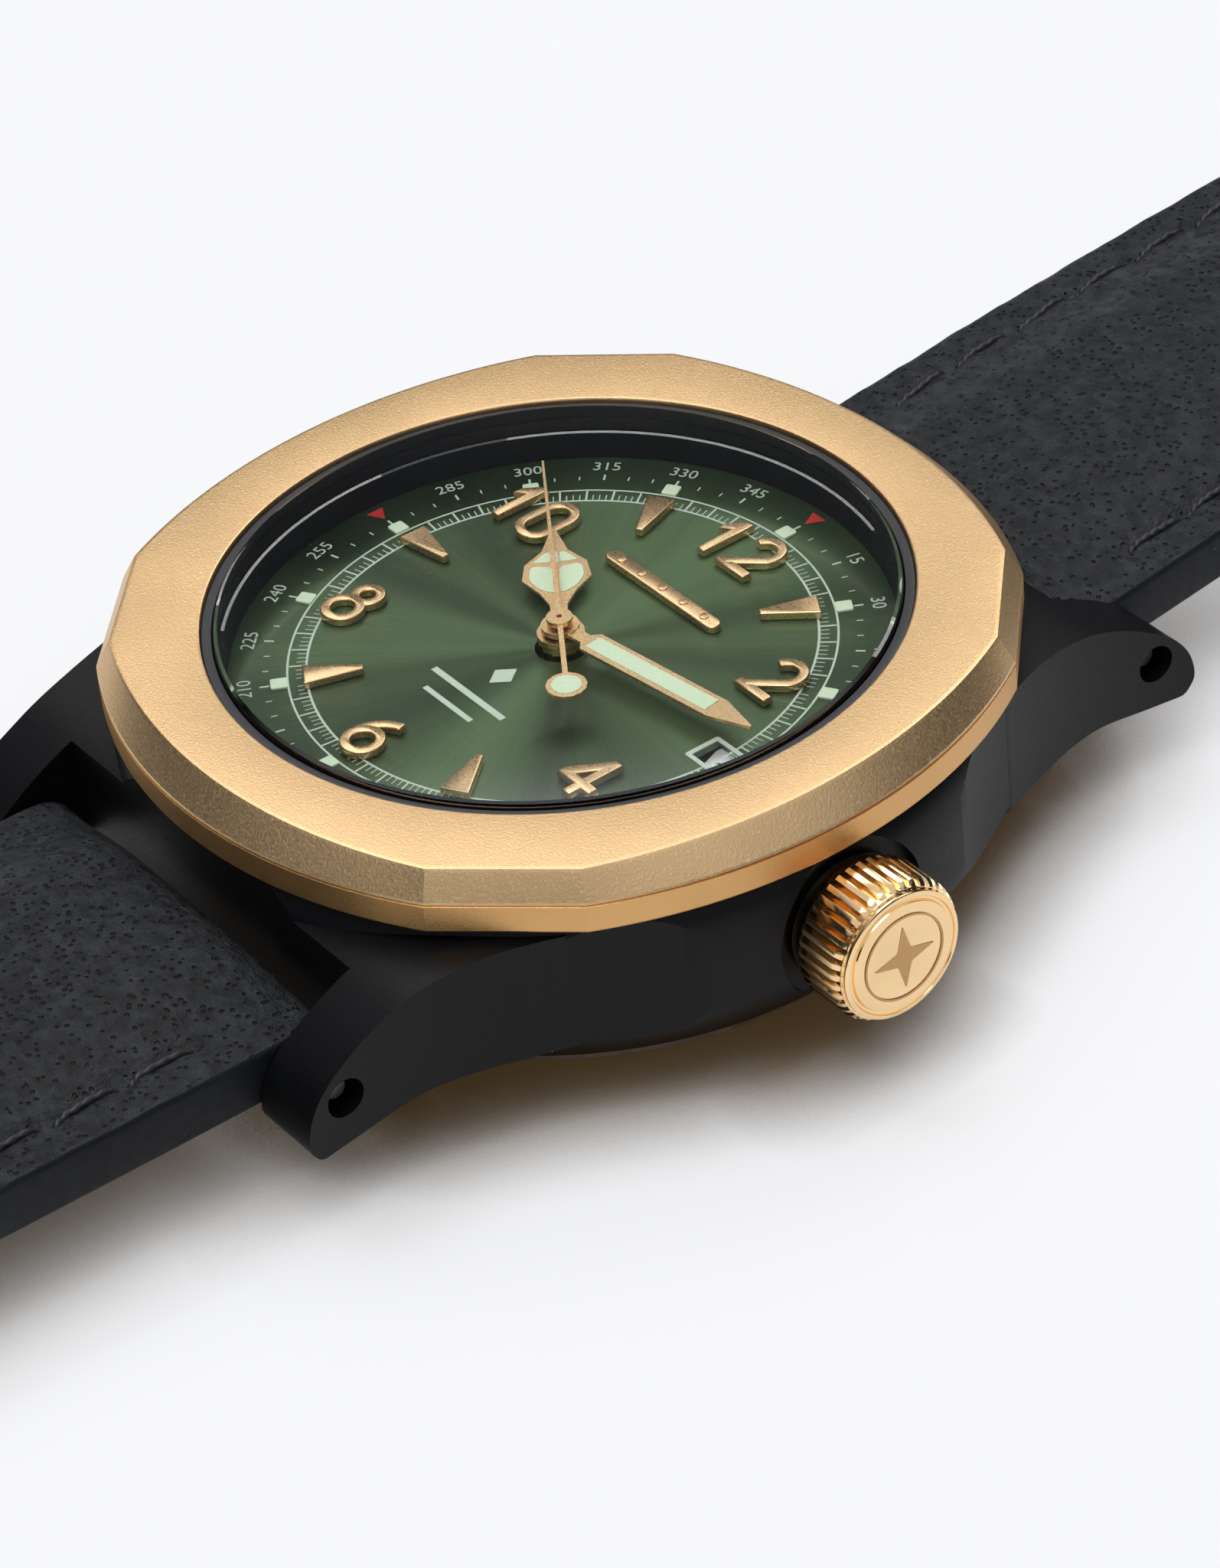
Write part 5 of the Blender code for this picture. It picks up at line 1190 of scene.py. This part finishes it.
def figure_outlines(digit):
    """The pieces of a figure one unit tall about its middle."""
    width = FIGURE_STROKE / FIGURE_UNIT
    half, top, bowl = width / 2, 0.37, 0.2
    if digit == 0:
        line = arc((0, 0.15), bowl, 0, 180, 24) + arc((0, -0.15), bowl, 180, 360, 24)
        return [stroke(line, width, closed=True)]
    if digit == 1:
        flag = [(-0.2, 0.16), (-0.05, top), (half, top)]
        return [[flag + [(half, -top), (-half, -top), (-half, 0.15), (-0.2, 0.05)]]]
    if digit == 2:
        line = arc((0, 0.15), bowl, 165, -35, 26) + [(-0.17, -0.3)]
        foot = [(-0.28, -top), (0.25, -top), (0.25, width - top), (-0.28, width - top)]
        return [stroke(line, width), [foot]]
    if digit == 4:
        left, right, bar = 0.01, 0.01 + width, -0.21
        outside = [
            (left, top), (right, top), (right, bar + width), (0.28, bar + width), (0.28, bar), (right, bar)
        ]
        outside += [(right, -top), (left, -top), (left, bar), (-0.29, bar), (-0.29, bar + width)]
        return [[outside, [(left, 0.13), (-0.12, bar + width), (left, bar + width)]]]
    if digit == 6:
        ring = arc((0, -0.15), bowl, 0, 360, 41)[:-1]
        return [stroke(ring, width, closed=True), stroke(arc((0.24, -0.12), 0.44, 105, 175, 18), width)]
    upper = arc((0, 0.19), 0.15, 0, 360, 33)[:-1]
    lower = arc((0, -0.16), bowl, 0, 360, 41)[:-1]
    return [stroke(lower, width, closed=True), stroke(upper, width, closed=True)]


def raised(name, forms, node):
    object_from(name, merged(forms), ("gold_marker",), 40.0, "case", (node,))


def figure_forms(digit, centre):
    base, top = DIAL_TOP + 0.03, DIAL_TOP + 0.4
    forms = []
    for step, outlines in enumerate(figure_outlines(digit)):
        placed = [
            [(centre[0] + x * FIGURE_UNIT, centre[1] + y * FIGURE_UNIT) for x, y in line] for line in outlines
        ]
        forms.append(plate_form(placed, base, top - 0.004 * step, 0.08))
    return forms


def build_markers():
    for hour in (2, 4, 6, 8):
        raised(
            f"figure_{hour}", figure_forms(hour, polar(FIGURE_RADIUS, dial_angle(30.0 * hour))),
            f"numeral_{hour}"
        )
    for hour, digits in ((12, (1, 2)), (10, (1, 0))):
        x, y = polar(FIGURE_RADIUS, dial_angle(30.0 * hour))
        raised(f"figure_{hour}_tens", figure_forms(digits[0], (x - 1.16, y)), f"numeral_{hour}_tens")
        raised(f"figure_{hour}_units", figure_forms(digits[1], (x + 0.79, y)), f"numeral_{hour}_units")
    base, top = DIAL_TOP + 0.03, DIAL_TOP + 0.4
    for hour in (1, 5, 7, 9, 11):
        angle = dial_angle(30.0 * hour)
        out = [(FIGURE_RADIUS - 1.25, -0.17), (FIGURE_RADIUS + 1.25, -0.65)]
        outline = turned_by(out + [(x, -y) for x, y in reversed(out)], angle)
        raised(f"index_{hour}", [plate_form([eased(outline, 0.06)], base, top, 0.07)], f"wedge_{hour}")
    half_x, half_y = 3.7, 0.37
    bar = arc((half_x - half_y, 5.2), half_y, -90, 90, 16) + arc((half_y - half_x, 5.2), half_y, 90, 270, 16)
    waves = [
        plate_form(
            [arc((x, 5.2), 0.2, 0, 360, 17)[:-1]], top - 0.02, top + 0.03, 0.02
        ) for x in (-2.8, -1.4, 0, 1.4, 2.8)
    ]
    raised("maker_bar", [plate_form([bar], base, top - 0.02, 0.08)] + waves, "emblem_bar")


def build_dial_pieces():
    NODES["dial"].data.materials.clear()
    NODES["dial"].data.materials.append(finish("dial_sunburst"))
    build_markers()
    build_dial_print()


def build_glass():
    top = corner_mm("crystal", 1, 2)
    base = corner_mm("crystal", 0, 2)
    edge = corner_mm("crystal", 1, 0)
    profile = [
        (0.0, top), (edge - 0.2, top), (edge - 0.06, top - 0.06), (edge, top - 0.2), (edge, base),
        (0.0, base)
    ]
    form = turned_form(profile, 240, False)
    form.normal_update()
    # The crystal's outer side wall takes black lacquer: painted shade for the shadow gap around the crystal.
    for face in form.faces:
        if abs(face.normal.z) < 0.3 and face.calc_center_median().xy.length > edge - 0.03:
            face.material_index = 1
    finishes = ("crystal_clear", "black_lacquer_and_gap_shade")
    object_from("crystal_glass", form, finishes, 8.0, "case", ("crystal",))
    inner, outer = edge + 0.05, BORE - 0.03
    high, low = corner_mm("crystal_gasket", 1, 2), corner_mm("crystal_gasket", 0, 2)
    ring = eased([(inner, high), (outer, high), (outer, low), (inner, low)], 0.08)
    object_from(
        "crystal_seal", turned_form(ring, 240), ("rubber_black",), 30.0, "case", (
            "crystal_gasket",
        )
    )
    flange_top, flange_low = corner_mm("inner_flange", 1, 2), corner_mm("inner_flange", 0, 2)
    wall = [(13.75, flange_low), (13.9, flange_top), (14.25, flange_top), (14.25, flange_low)]
    object_from(
        "dial_flange", turned_form(wall, 240), (
            "black_lacquer_and_gap_shade",
        ), 30.0, "case", ("inner_flange",)
    )


# ----------------------------------------------------------------------------
# Strap
# ----------------------------------------------------------------------------

LONG_LAND, SHORT_LAND = 1.25, 2.6
SHORT_LENGTH = 75.0
BUCKLE_Z = SHORT_LAND
EDGE_ROUND = 0.38


def long_height(d):
    return BAR_Z + (LONG_LAND - BAR_Z) * smooth((d - 15.0) / 37.0)


def short_height(d):
    carried = BAR_Z + 0.13 * d - 0.0009 * d * d
    return carried + (SHORT_LAND - carried) * smooth((d - 34.0) / 30.0)


class StrapHalf:
    """The shape of one strap half: distances run from the spring bar, out along side (+1 or -1)."""

    def __init__(self, side, length_mm, height, narrow=9.0, tip_round=0.0):
        self.side, self.length, self.height = side, length_mm, height
        self.narrow, self.tip_round = narrow, tip_round

    def half_width(self, d):
        taper = smooth_line((d - 6.0) / (self.length - 6.0))
        wide = STRAP_HALF - 0.02 + (self.narrow - STRAP_HALF) * taper
        if self.tip_round and d > self.length - self.tip_round:
            t = (d - self.length + self.tip_round) / self.tip_round
            wide *= math.sqrt(max(0.0, 1.0 - t * t)) * 0.985 + 0.015
        return wide

    def thick(self, d):
        """(bottom, edge top, pad) measured from the middle line."""
        thin = smooth((d - 8.0) / 42.0)
        bottom = 1.35 - 0.23 * thin
        edge = 1.12 - 0.14 * thin
        pad = sizes().pad_height * (1.0 - 0.85 * thin)
        return bottom, edge, pad

    def top(self, d, e, x):
        """Height of the top above the middle line at e from the edge, before the edge is rounded."""
        edge, pad = self.thick(d)[1:]
        rise = edge + pad * smooth((e - 0.9) / 5.2)
        inset, pitch = sizes().stitch_inset, sizes().stitch_pitch
        sewn = smooth((d - 2.6) / 0.8) * smooth((self.length - 4.0 - d) / 1.0)
        groove = math.exp(-(((e - inset) / 0.42) ** 2))
        phase = ((d - 3.0) / pitch) % 1.0
        hole = math.exp(-((min(phase, 1.0 - phase) * pitch / 0.42) ** 2))
        rise -= sewn * groove * (0.17 + 0.34 * hole)
        puff = math.exp(-(((e - inset - 0.9) / 0.7) ** 2)) * 0.10 * (1.0 - hole)
        crumple = noise.noise(Vector((x * 0.55, d * 0.55, self.side * 3.1))) * 0.10
        fine = noise.noise(Vector((x * 1.7, d * 1.7, self.side * 9.7))) * 0.05
        near_seam = math.exp(-(((e - inset) / 1.6) ** 2))
        return rise + sewn * puff + (crumple + fine) * (0.35 + 1.3 * near_seam * sewn)

    def spot(self, d, x, up):
        return (x, self.side * (BAR_Y + d), self.height(max(d, 0.0)) + up)

    def form(self, end_round):
        e_steps = [
            0.0, 0.03, 0.08, 0.15, 0.25, 0.38, 0.55, 0.75, 0.95, 1.15, 1.35, 1.55, 1.7, 1.85, 2.0, 2.15, 2.3
        ]
        e_steps += [2.45, 2.65, 2.9, 3.2, 3.55, 3.95, 4.4, 4.9, 5.4, 5.9, 6.4, 6.9, 7.4, 7.9, 8.4, 8.9, 9.4]
        half = STRAP_HALF
        columns = [-(1 - e / half) for e in e_steps] + [0.0] + [1 - e / half for e in reversed(e_steps)]
        last = self.length - (0.01 if self.tip_round else 0.0)
        near = 0.28
        stations = [0.0]
        while stations[-1] < last - 1e-6:
            step = near if stations[-1] < 46.0 else 0.9
            if self.tip_round and last - stations[-1] < 6.0:
                step = 0.3
            stations.append(min(last, stations[-1] + step))
        form = bmesh.new()
        top_rows, low_rows = [], []
        ends = [math.radians(90.0 * k / 9) for k in range(9)]

        def column_row(d, stretch_y, stretch_z, upper):
            row = []
            wide = self.half_width(max(d, 0.0))
            bottom = self.thick(max(d, 0.0))[0]
            for a in columns:
                x = a * wide
                e = max(0.0, (1.0 - abs(a)) * half)
                drop = 0.0
                if e < EDGE_ROUND:
                    drop = EDGE_ROUND - math.sqrt(EDGE_ROUND**2 - (EDGE_ROUND - e) ** 2)
                up = self.top(max(d, 0.0), e, x) - drop if upper else -(bottom - drop * 0.7)
                spot = Vector(self.spot(0.0 if stretch_y is not None else d, x, up * stretch_z))
                if stretch_y is not None:
                    spot.y = self.side * (BAR_Y - 1.88 * stretch_y)
                row.append(form.verts.new(spot))
            return row

        for angle in reversed(ends[:-1]):
            top_rows.append(column_row(0.0, math.cos(angle), math.sin(angle), True) if angle else None)
        top_rows = [row for row in top_rows if row]
        top_rows.reverse()
        low_rows = [column_row(0.0, math.cos(angle), math.sin(angle), False) for angle in ends[1:-1]]
        nose = column_row(0.0, 1.0, 0.0, True)
        for d in stations:
            top_rows.append(column_row(d, None, 1.0, True))
            low_rows.append(column_row(d, None, 1.0, False))
        tail = []
        if end_round:
            reach = end_round
            for angle in ends[1:]:
                for upper, rows in ((True, top_rows), (False, low_rows)):
                    row = column_row(last, None, math.cos(angle), upper)
                    for vert in row:
                        vert.co.y += self.side * reach * math.sin(angle)
                    rows.append(row)
            tail = column_row(last, None, 0.0, True)
            for vert in tail:
                vert.co.y += self.side * reach
        uppers = [nose] + top_rows + ([tail] if tail else [])
        lowers = [nose] + low_rows + ([tail] if tail else [])
        count = len(columns)
        for rows, index in ((uppers, 0), (lowers, 1)):
            for a, b in zip(rows, rows[1:]):
                for i in range(count - 1):
                    face = form.faces.new((a[i], a[i + 1], b[i + 1], b[i]))
                    face.material_index = index
        for side_index in (0, count - 1):
            for k in range(len(uppers) - 1):
                quad = [
                    uppers[k][side_index], uppers[k + 1][side_index], lowers[k + 1][side_index],
                    lowers[k][side_index]
                ]
                kept = []
                for vert in quad:
                    if vert not in kept:
                        kept.append(vert)
                if len(kept) > 2:
                    form.faces.new(kept).material_index = 2
        if not tail:
            a, b = uppers[-1], lowers[-1]
            for i in range(count - 1):
                form.faces.new((a[i], a[i + 1], b[i + 1], b[i])).material_index = 2
        for face in form.faces:
            if face.material_index != 2 and all(
                abs(abs(v.co.x) - self.half_width(min(self.length, max(0.0, abs(v.co.y) - BAR_Y)))) < 0.16
                for v in face.verts
            ):
                face.material_index = 2
        return form

    def stitches(self):
        """Centre lines of the stitches: each dips into the leather at both ends."""
        inset, pitch = sizes().stitch_inset, sizes().stitch_pitch
        lines = []
        count = int((self.length - 8.0) / pitch)
        for k in range(count):
            a, b = 3.0 + pitch * k, 3.0 + pitch * (k + 1)
            for edge in (1, -1):
                line = []
                for step in range(9):
                    t = step / 8
                    d = a + 0.22 + (b - a - 0.44) * t
                    wide = self.half_width(d)
                    x = edge * (1 - inset / STRAP_HALF) * wide
                    lift = 0.30 * math.sin(math.pi * t) ** 0.6 - 0.22
                    line.append(
                        self.spot(d, x + edge * 0.16 * (t - 0.5), self.top(d, inset, x) + lift * 0.75)
                    )
                lines.append(line)
        return lines


def smooth_line(value):
    return min(max(value, 0.0), 1.0)


def build_strap(name, node, body, half, end_round, cutters):
    made = object_from(name, half.form(end_round), ("calf_black", "calf_black", "edge_paint"), 50.0)
    boolean(made, cutters, "DIFFERENCE")
    applied(made)
    settle_on(made, body, (node,))
    object_from(
        name + "_stitching", line_form(half.stitches(), sizes().thread_radius), ("thread_black",), 60.0,
        body,
    )


def build_straps():
    long_half = StrapHalf(-1, LONG_END, long_height, 9.0, 9.0)
    bar = cylinder_form(0.95, -12.0, 12.0, "X", (0.0, -BAR_Y, BAR_Z), 32)
    holes = [
        cylinder_form(0.9, -3.0, 6.0, "Z", (0.0, -(BAR_Y + 60.0 + 6.5 * i), 0.0), 32) for i in range(7)
    ]
    build_strap("strap_long", "strap_6", "long_strap", long_half, 0.0, merged([bar] + holes))

    short_half = StrapHalf(1, SHORT_LENGTH, short_height)
    bar = cylinder_form(0.95, -12.0, 12.0, "X", (0.0, BAR_Y, BAR_Z), 32)
    end_y = BAR_Y + SHORT_LENGTH
    tunnel = cylinder_form(0.66, -12.0, 12.0, "X", (0.0, end_y, BUCKLE_Z), 32)
    slot = box_form((-1.3, end_y - 1.8, BUCKLE_Z - 3.0), (1.3, end_y + 3.0, BUCKLE_Z + 3.0))
    build_strap("strap_short", "strap_12", "short_strap", short_half, 1.2, merged([bar, tunnel, slot]))


def build_keeper(name, node, body):
    """A leather loop with rounded edges and a slight swell, where the CAD loop is."""
    low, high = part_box(node)
    y0, z0 = (low.y + high.y) / 2 / MM, (low.z + high.z) / 2 / MM
    slope = math.atan(short_height(y0 - BAR_Y + 0.5) - short_height(y0 - BAR_Y - 0.5))
    wide, tall, thick, long = 19.3, 5.3, 1.05, 5.0
    corner = (wide / 2 + thick / 2, tall / 2 + thick / 2)
    path = []
    for sx, sz in ((1, 1), (-1, 1), (-1, -1), (1, -1)):
        path.append((sx * corner[0], sz * corner[1]))
    path = eased(path, 1.1, 6)
    dense = []
    for a, b in zip(path, path[1:] + path[:1]):
        steps = max(1, int(math.hypot(b[0] - a[0], b[1] - a[1]) / 0.7))
        dense += [(a[0] + (b[0] - a[0]) * k / steps, a[1] + (b[1] - a[1]) * k / steps) for k in range(steps)]
    section = eased(
        [(-thick / 2, -long / 2), (thick / 2, -long / 2), (thick / 2 - 0.02, 0.0), (thick / 2, long / 2),
         (-thick / 2, long / 2), (-thick / 2, 0.0)],
        [0.2, 0.3, 0.0, 0.3, 0.2, 0.0], 4,
    )
    form = bmesh.new()
    rings = []
    count = len(dense)
    for i, (x, z) in enumerate(dense):
        px, pz = dense[i - 1]
        nx, nz = dense[(i + 1) % count]
        tangent = Vector((nx - px, nz - pz)).normalized()
        out = Vector((tangent.y, -tangent.x))
        if out.dot(Vector((x, z))) < 0:
            out = -out
        ring = []
        for across, along in section:
            swell = 0.05 * math.sin(x * 0.8) * (1 if across > 0 else 0)
            ring.append(form.verts.new((x + out.x * (across + swell), along, z + out.y * (across + swell))))
        rings.append(ring)
    size = len(section)
    for a, b in zip(rings, rings[1:] + rings[:1]):
        for i in range(size):
            form.faces.new((a[i], a[(i + 1) % size], b[(i + 1) % size], b[i]))
    place = Matrix.Translation((0.0, y0, z0)) @ Matrix.Rotation(slope, 4, "X")
    bmesh.ops.transform(form, matrix=place, verts=form.verts)
    object_from(name, form, ("calf_black",), 50.0, body, (node,))


# ----------------------------------------------------------------------------
# The rest of the CAD nodes
# ----------------------------------------------------------------------------

NODE_FINISHES = {
    "case_back": "back_turned", "case_back_gasket": "rubber_black", "crown_tube": "steel_polished",
    "movement_ring": "holder_moulded", "main_plate": "plate_grained", "train_bridge": "bridge_striped",
    "balance_cock": "bridge_striped", "rotor_bearing": "steel_polished", "rotor": "rotor_grained",
    "barrel": "brass_wheel", "center_wheel": "brass_wheel", "third_wheel": "brass_wheel",
    "fourth_wheel": "brass_wheel", "escape_wheel": "steel_polished", "pallet_fork": "steel_polished",
    "balance_wheel": "brass_wheel", "hairspring": "steel_polished", "cannon_pinion": "gold_polished",
    "hour_wheel": "gold_polished", "minute_wheel": "brass_wheel", "date_ring": "date_lacquer_painted_glow",
    "stem": "steel_polished", "crown_gasket": "rubber_black", "setting_lever": "steel_brushed",
    # Spring bars darkened: painted shade in the lug holes.
    "clutch_wheel": "steel_polished", "spring_bar_12": "steel_painted_shade", "spring_bar_6": "steel_painted_shade",
    "buckle_bar": "steel_polished", "buckle_frame": "case_blasted", "buckle_tongue": "case_blasted",
}
SOFTENED = {"case_back": 0.1, "buckle_frame": 0.35, "buckle_tongue": 0.16, "rotor": 0.06}


def dress_nodes():
    for name, kind in NODE_FINISHES.items():
        node = NODES[name]
        node.data.materials.clear()
        node.data.materials.append(finish(kind))
        if name in SOFTENED:
            soften(node, SOFTENED[name], 30.0)


# ----------------------------------------------------------------------------
# Stage
# ----------------------------------------------------------------------------

CAMERA_PLACE = (153.09, -99.35, 138.78)
CAMERA_AZIMUTH, CAMERA_ELEVATION, CAMERA_ROLL = 56.59, 36.75, -5.85
CAMERA_LENS = 125.74


def build_camera():
    az, el, roll = (math.radians(v) for v in (CAMERA_AZIMUTH, CAMERA_ELEVATION, CAMERA_ROLL))
    back = Vector((math.sin(az) * math.cos(el), -math.cos(az) * math.cos(el), math.sin(el)))
    right = Vector((0.0, 0.0, 1.0)).cross(back).normalized()
    up = back.cross(right)
    x = right * math.cos(roll) + up * math.sin(roll)
    y = up * math.cos(roll) - right * math.sin(roll)
    data = bpy.data.cameras.new("studio_camera")
    data.sensor_fit = "VERTICAL"
    data.sensor_height = 36.0
    data.lens = CAMERA_LENS
    data.clip_start = 0.01
    data.clip_end = 20.0
    made = bpy.data.objects.new("studio_camera", data)
    turn = Matrix((x, y, back)).transposed().to_4x4()
    made.matrix_world = Matrix.Translation(Vector(CAMERA_PLACE) * MM) @ turn
    bpy.context.scene.collection.objects.link(made)
    bpy.context.scene.camera = made


def softbox(name, place, target, size, power, tint):
    data = bpy.data.lights.new(name, "AREA")
    data.shape = "RECTANGLE"
    data.size, data.size_y = size
    data.energy = power
    data.color = tint
    made = bpy.data.objects.new(name, data)
    bpy.context.scene.collection.objects.link(made)
    spot = Vector(place)
    aim = Vector(target) - spot
    made.matrix_world = Matrix.Translation(spot) @ aim.to_track_quat("-Z", "Y").to_matrix().to_4x4()


def build_world():
    """A pale ceiling, high behind the watch and lower in front of it; the camera sees a pale room all round."""
    world = bpy.data.worlds.new("studio")
    world.use_nodes = True
    w = Wiring(world.node_tree)
    way = world.node_tree.nodes.new("ShaderNodeTexCoord").outputs["Generated"]
    split = w.add("ShaderNodeSeparateXYZ", None, Vector=way)
    front = w.math(
        "ADD", w.math("MULTIPLY", split.outputs[0], 0.84), w.math("MULTIPLY", split.outputs[1], -0.55)
    )
    lowered = w.math("MULTIPLY", w.math("MAXIMUM", front, 0.0), 0.42)
    height = w.math("ADD", split.outputs[2], lowered)
    ceiling = w.add("ShaderNodeMapRange", {"interpolation_type": "SMOOTHSTEP"}, Value=height)
    ceiling.inputs["From Min"].default_value = math.sin(math.radians(35.5))
    ceiling.inputs["From Max"].default_value = math.sin(math.radians(56.0))
    left = w.math(
        "ADD", w.math("MULTIPLY", split.outputs[0], -0.55), w.math("MULTIPLY", split.outputs[1], -0.84)
    )
    level = w.between(left, -0.7, 0.7, 1.03, 0.98)
    lit = w.math("MULTIPLY", ceiling.outputs[0], level)
    # A window behind the watch, low enough to lay a soft veil over the near part of the crystal.
    sill = w.add("ShaderNodeMapRange", {"interpolation_type": "SMOOTHSTEP"}, Value=split.outputs[2])
    sill.inputs["From Min"].default_value = math.sin(math.radians(36.2))
    sill.inputs["From Max"].default_value = math.sin(math.radians(40.0))
    lintel = w.between(split.outputs[2], math.sin(math.radians(41.0)), math.sin(math.radians(44.0)), 1.0, 0.0)
    aside = w.math("ABSOLUTE", w.math("SUBTRACT", left, 0.02))
    jamb = w.between(aside, 0.02, 0.08, 1.0, 0.0)
    behind = w.math("LESS_THAN", front, 0.0)
    pane = w.math("MULTIPLY", w.math("MULTIPLY", sill.outputs[0], lintel), w.math("MULTIPLY", jamb, behind))
    bright = w.math("ADD", lit, w.math("MULTIPLY", pane, 6.0))
    tint = w.mix(bright, (0.030, 0.033, 0.040), (0.98, 1.0, 1.06))
    tint.node.clamp_factor = False
    back = world.node_tree.nodes["Background"]
    seen = world.node_tree.nodes.new("ShaderNodeLightPath").outputs["Is Camera Ray"]
    w.link(w.mix(seen, tint, (1.18, 1.19, 1.21)), back.inputs["Color"])
    back.inputs["Strength"].default_value = 0.73
    bpy.context.scene.world = world


def build_stage():
    form = bmesh.new()
    bmesh.ops.create_grid(form, x_segments=8, y_segments=8, size=1500.0)
    floor = object_from("table", form, ("pale_table_painted_shadow",))
    softbox("key_softbox", (-0.48, 0.11, 0.63), (0.0, 0.0, 0.0), (0.34, 0.34), 0.95, (1.0, 0.98, 0.96))
    softbox("back_softbox", (-0.28, 0.52, 0.58), (0.0, 0.0, 0.0), (0.34, 0.34), 1.1, (1.0, 0.99, 0.97))
    softbox("top_softbox", (0.12, -0.22, 0.82), (0.0, 0.0, 0.0), (0.5, 0.5), 3.0, (0.97, 0.98, 1.0))
    build_world()
    bpy.context.scene.view_settings.view_transform = "Standard"
    build_camera()


# ----------------------------------------------------------------------------
# Operators and panel
# ----------------------------------------------------------------------------

class WatchOperator:
    bl_options = {"REGISTER", "UNDO"}


class WATCH_OT_case(WatchOperator, bpy.types.Operator):
    """Builds the black case with its lugs"""

    bl_idname = "watch.case"
    bl_label = "Case"

    def execute(self, context):
        build_case()
        return {"FINISHED"}


class WATCH_OT_bezel(WatchOperator, bpy.types.Operator):
    """Builds the bead-blasted bezel"""

    bl_idname = "watch.bezel"
    bl_label = "Bezel"

    def execute(self, context):
        build_bezel()
        return {"FINISHED"}


class WATCH_OT_crown(WatchOperator, bpy.types.Operator):
    """Builds the coin-edged crown and its mark"""

    bl_idname = "watch.crown"
    bl_label = "Crown"

    def execute(self, context):
        build_crown()
        return {"FINISHED"}


class WATCH_OT_dial(WatchOperator, bpy.types.Operator):
    """Finishes the dial, its markers, its printing and the date"""

    bl_idname = "watch.dial"
    bl_label = "Dial"

    def execute(self, context):
        build_dial_pieces()
        return {"FINISHED"}


class WATCH_OT_hands(WatchOperator, bpy.types.Operator):
    """Finishes the hands and lays their luminous paint"""

    bl_idname = "watch.hands"
    bl_label = "Hands"

    def execute(self, context):
        build_hands()
        return {"FINISHED"}


class WATCH_OT_glass(WatchOperator, bpy.types.Operator):
    """Builds the crystal, its seal and the flange under it"""

    bl_idname = "watch.glass"
    bl_label = "Crystal"

    def execute(self, context):
        build_glass()
        return {"FINISHED"}


class WATCH_OT_straps(WatchOperator, bpy.types.Operator):
    """Builds both strap halves with their stitching"""

    bl_idname = "watch.straps"
    bl_label = "Strap"

    def execute(self, context):
        build_straps()
        return {"FINISHED"}


class WATCH_OT_keepers(WatchOperator, bpy.types.Operator):
    """Builds the fixed and the sliding keeper"""

    bl_idname = "watch.keepers"
    bl_label = "Keepers"

    def execute(self, context):
        build_keeper("keeper_fixed", "fixed_keeper", "short_strap")
        build_keeper("keeper_sliding", "free_keeper", "sliding_keeper")
        return {"FINISHED"}


class WATCH_OT_metalwork(WatchOperator, bpy.types.Operator):
    """Finishes the case back, the buckle and the movement"""

    bl_idname = "watch.metalwork"
    bl_label = "Case back, buckle and movement"

    def execute(self, context):
        dress_nodes()
        return {"FINISHED"}


class WATCH_OT_stage(WatchOperator, bpy.types.Operator):
    """Sets up the table, the lights and the camera"""

    bl_idname = "watch.stage"
    bl_label = "Stage"

    def execute(self, context):
        build_stage()
        return {"FINISHED"}


OPERATORS = (
    WATCH_OT_case, WATCH_OT_bezel, WATCH_OT_crown, WATCH_OT_dial, WATCH_OT_hands, WATCH_OT_glass,
    WATCH_OT_straps, WATCH_OT_keepers, WATCH_OT_metalwork, WATCH_OT_stage,
)


class WATCH_PT_panel(bpy.types.Panel):
    """Lists the settings and the pieces"""

    bl_idname = "WATCH_PT_panel"
    bl_label = "Watch"
    bl_space_type = "VIEW_3D"
    bl_region_type = "UI"
    bl_category = "Watch"

    def draw(self, context):
        for group in (context.scene.watch_sizes, context.scene.watch_colours):
            box = self.layout.box()
            for key in group.__annotations__:
                box.prop(group, key)
        for operator in OPERATORS:
            self.layout.operator(operator.bl_idname)


CLASSES = (WatchSizes, WatchColours, *OPERATORS, WATCH_PT_panel)


def register():
    for each in CLASSES:
        bpy.utils.register_class(each)
    bpy.types.Scene.watch_sizes = bpy.props.PointerProperty(type=WatchSizes)
    bpy.types.Scene.watch_colours = bpy.props.PointerProperty(type=WatchColours)


def unregister():
    del bpy.types.Scene.watch_colours
    del bpy.types.Scene.watch_sizes
    for each in reversed(CLASSES):
        bpy.utils.unregister_class(each)


def main():
    register()
    for operator in OPERATORS:
        group, name = operator.bl_idname.split(".")
        getattr(getattr(bpy.ops, group), name)()


if __name__ == "__main__":
    main()
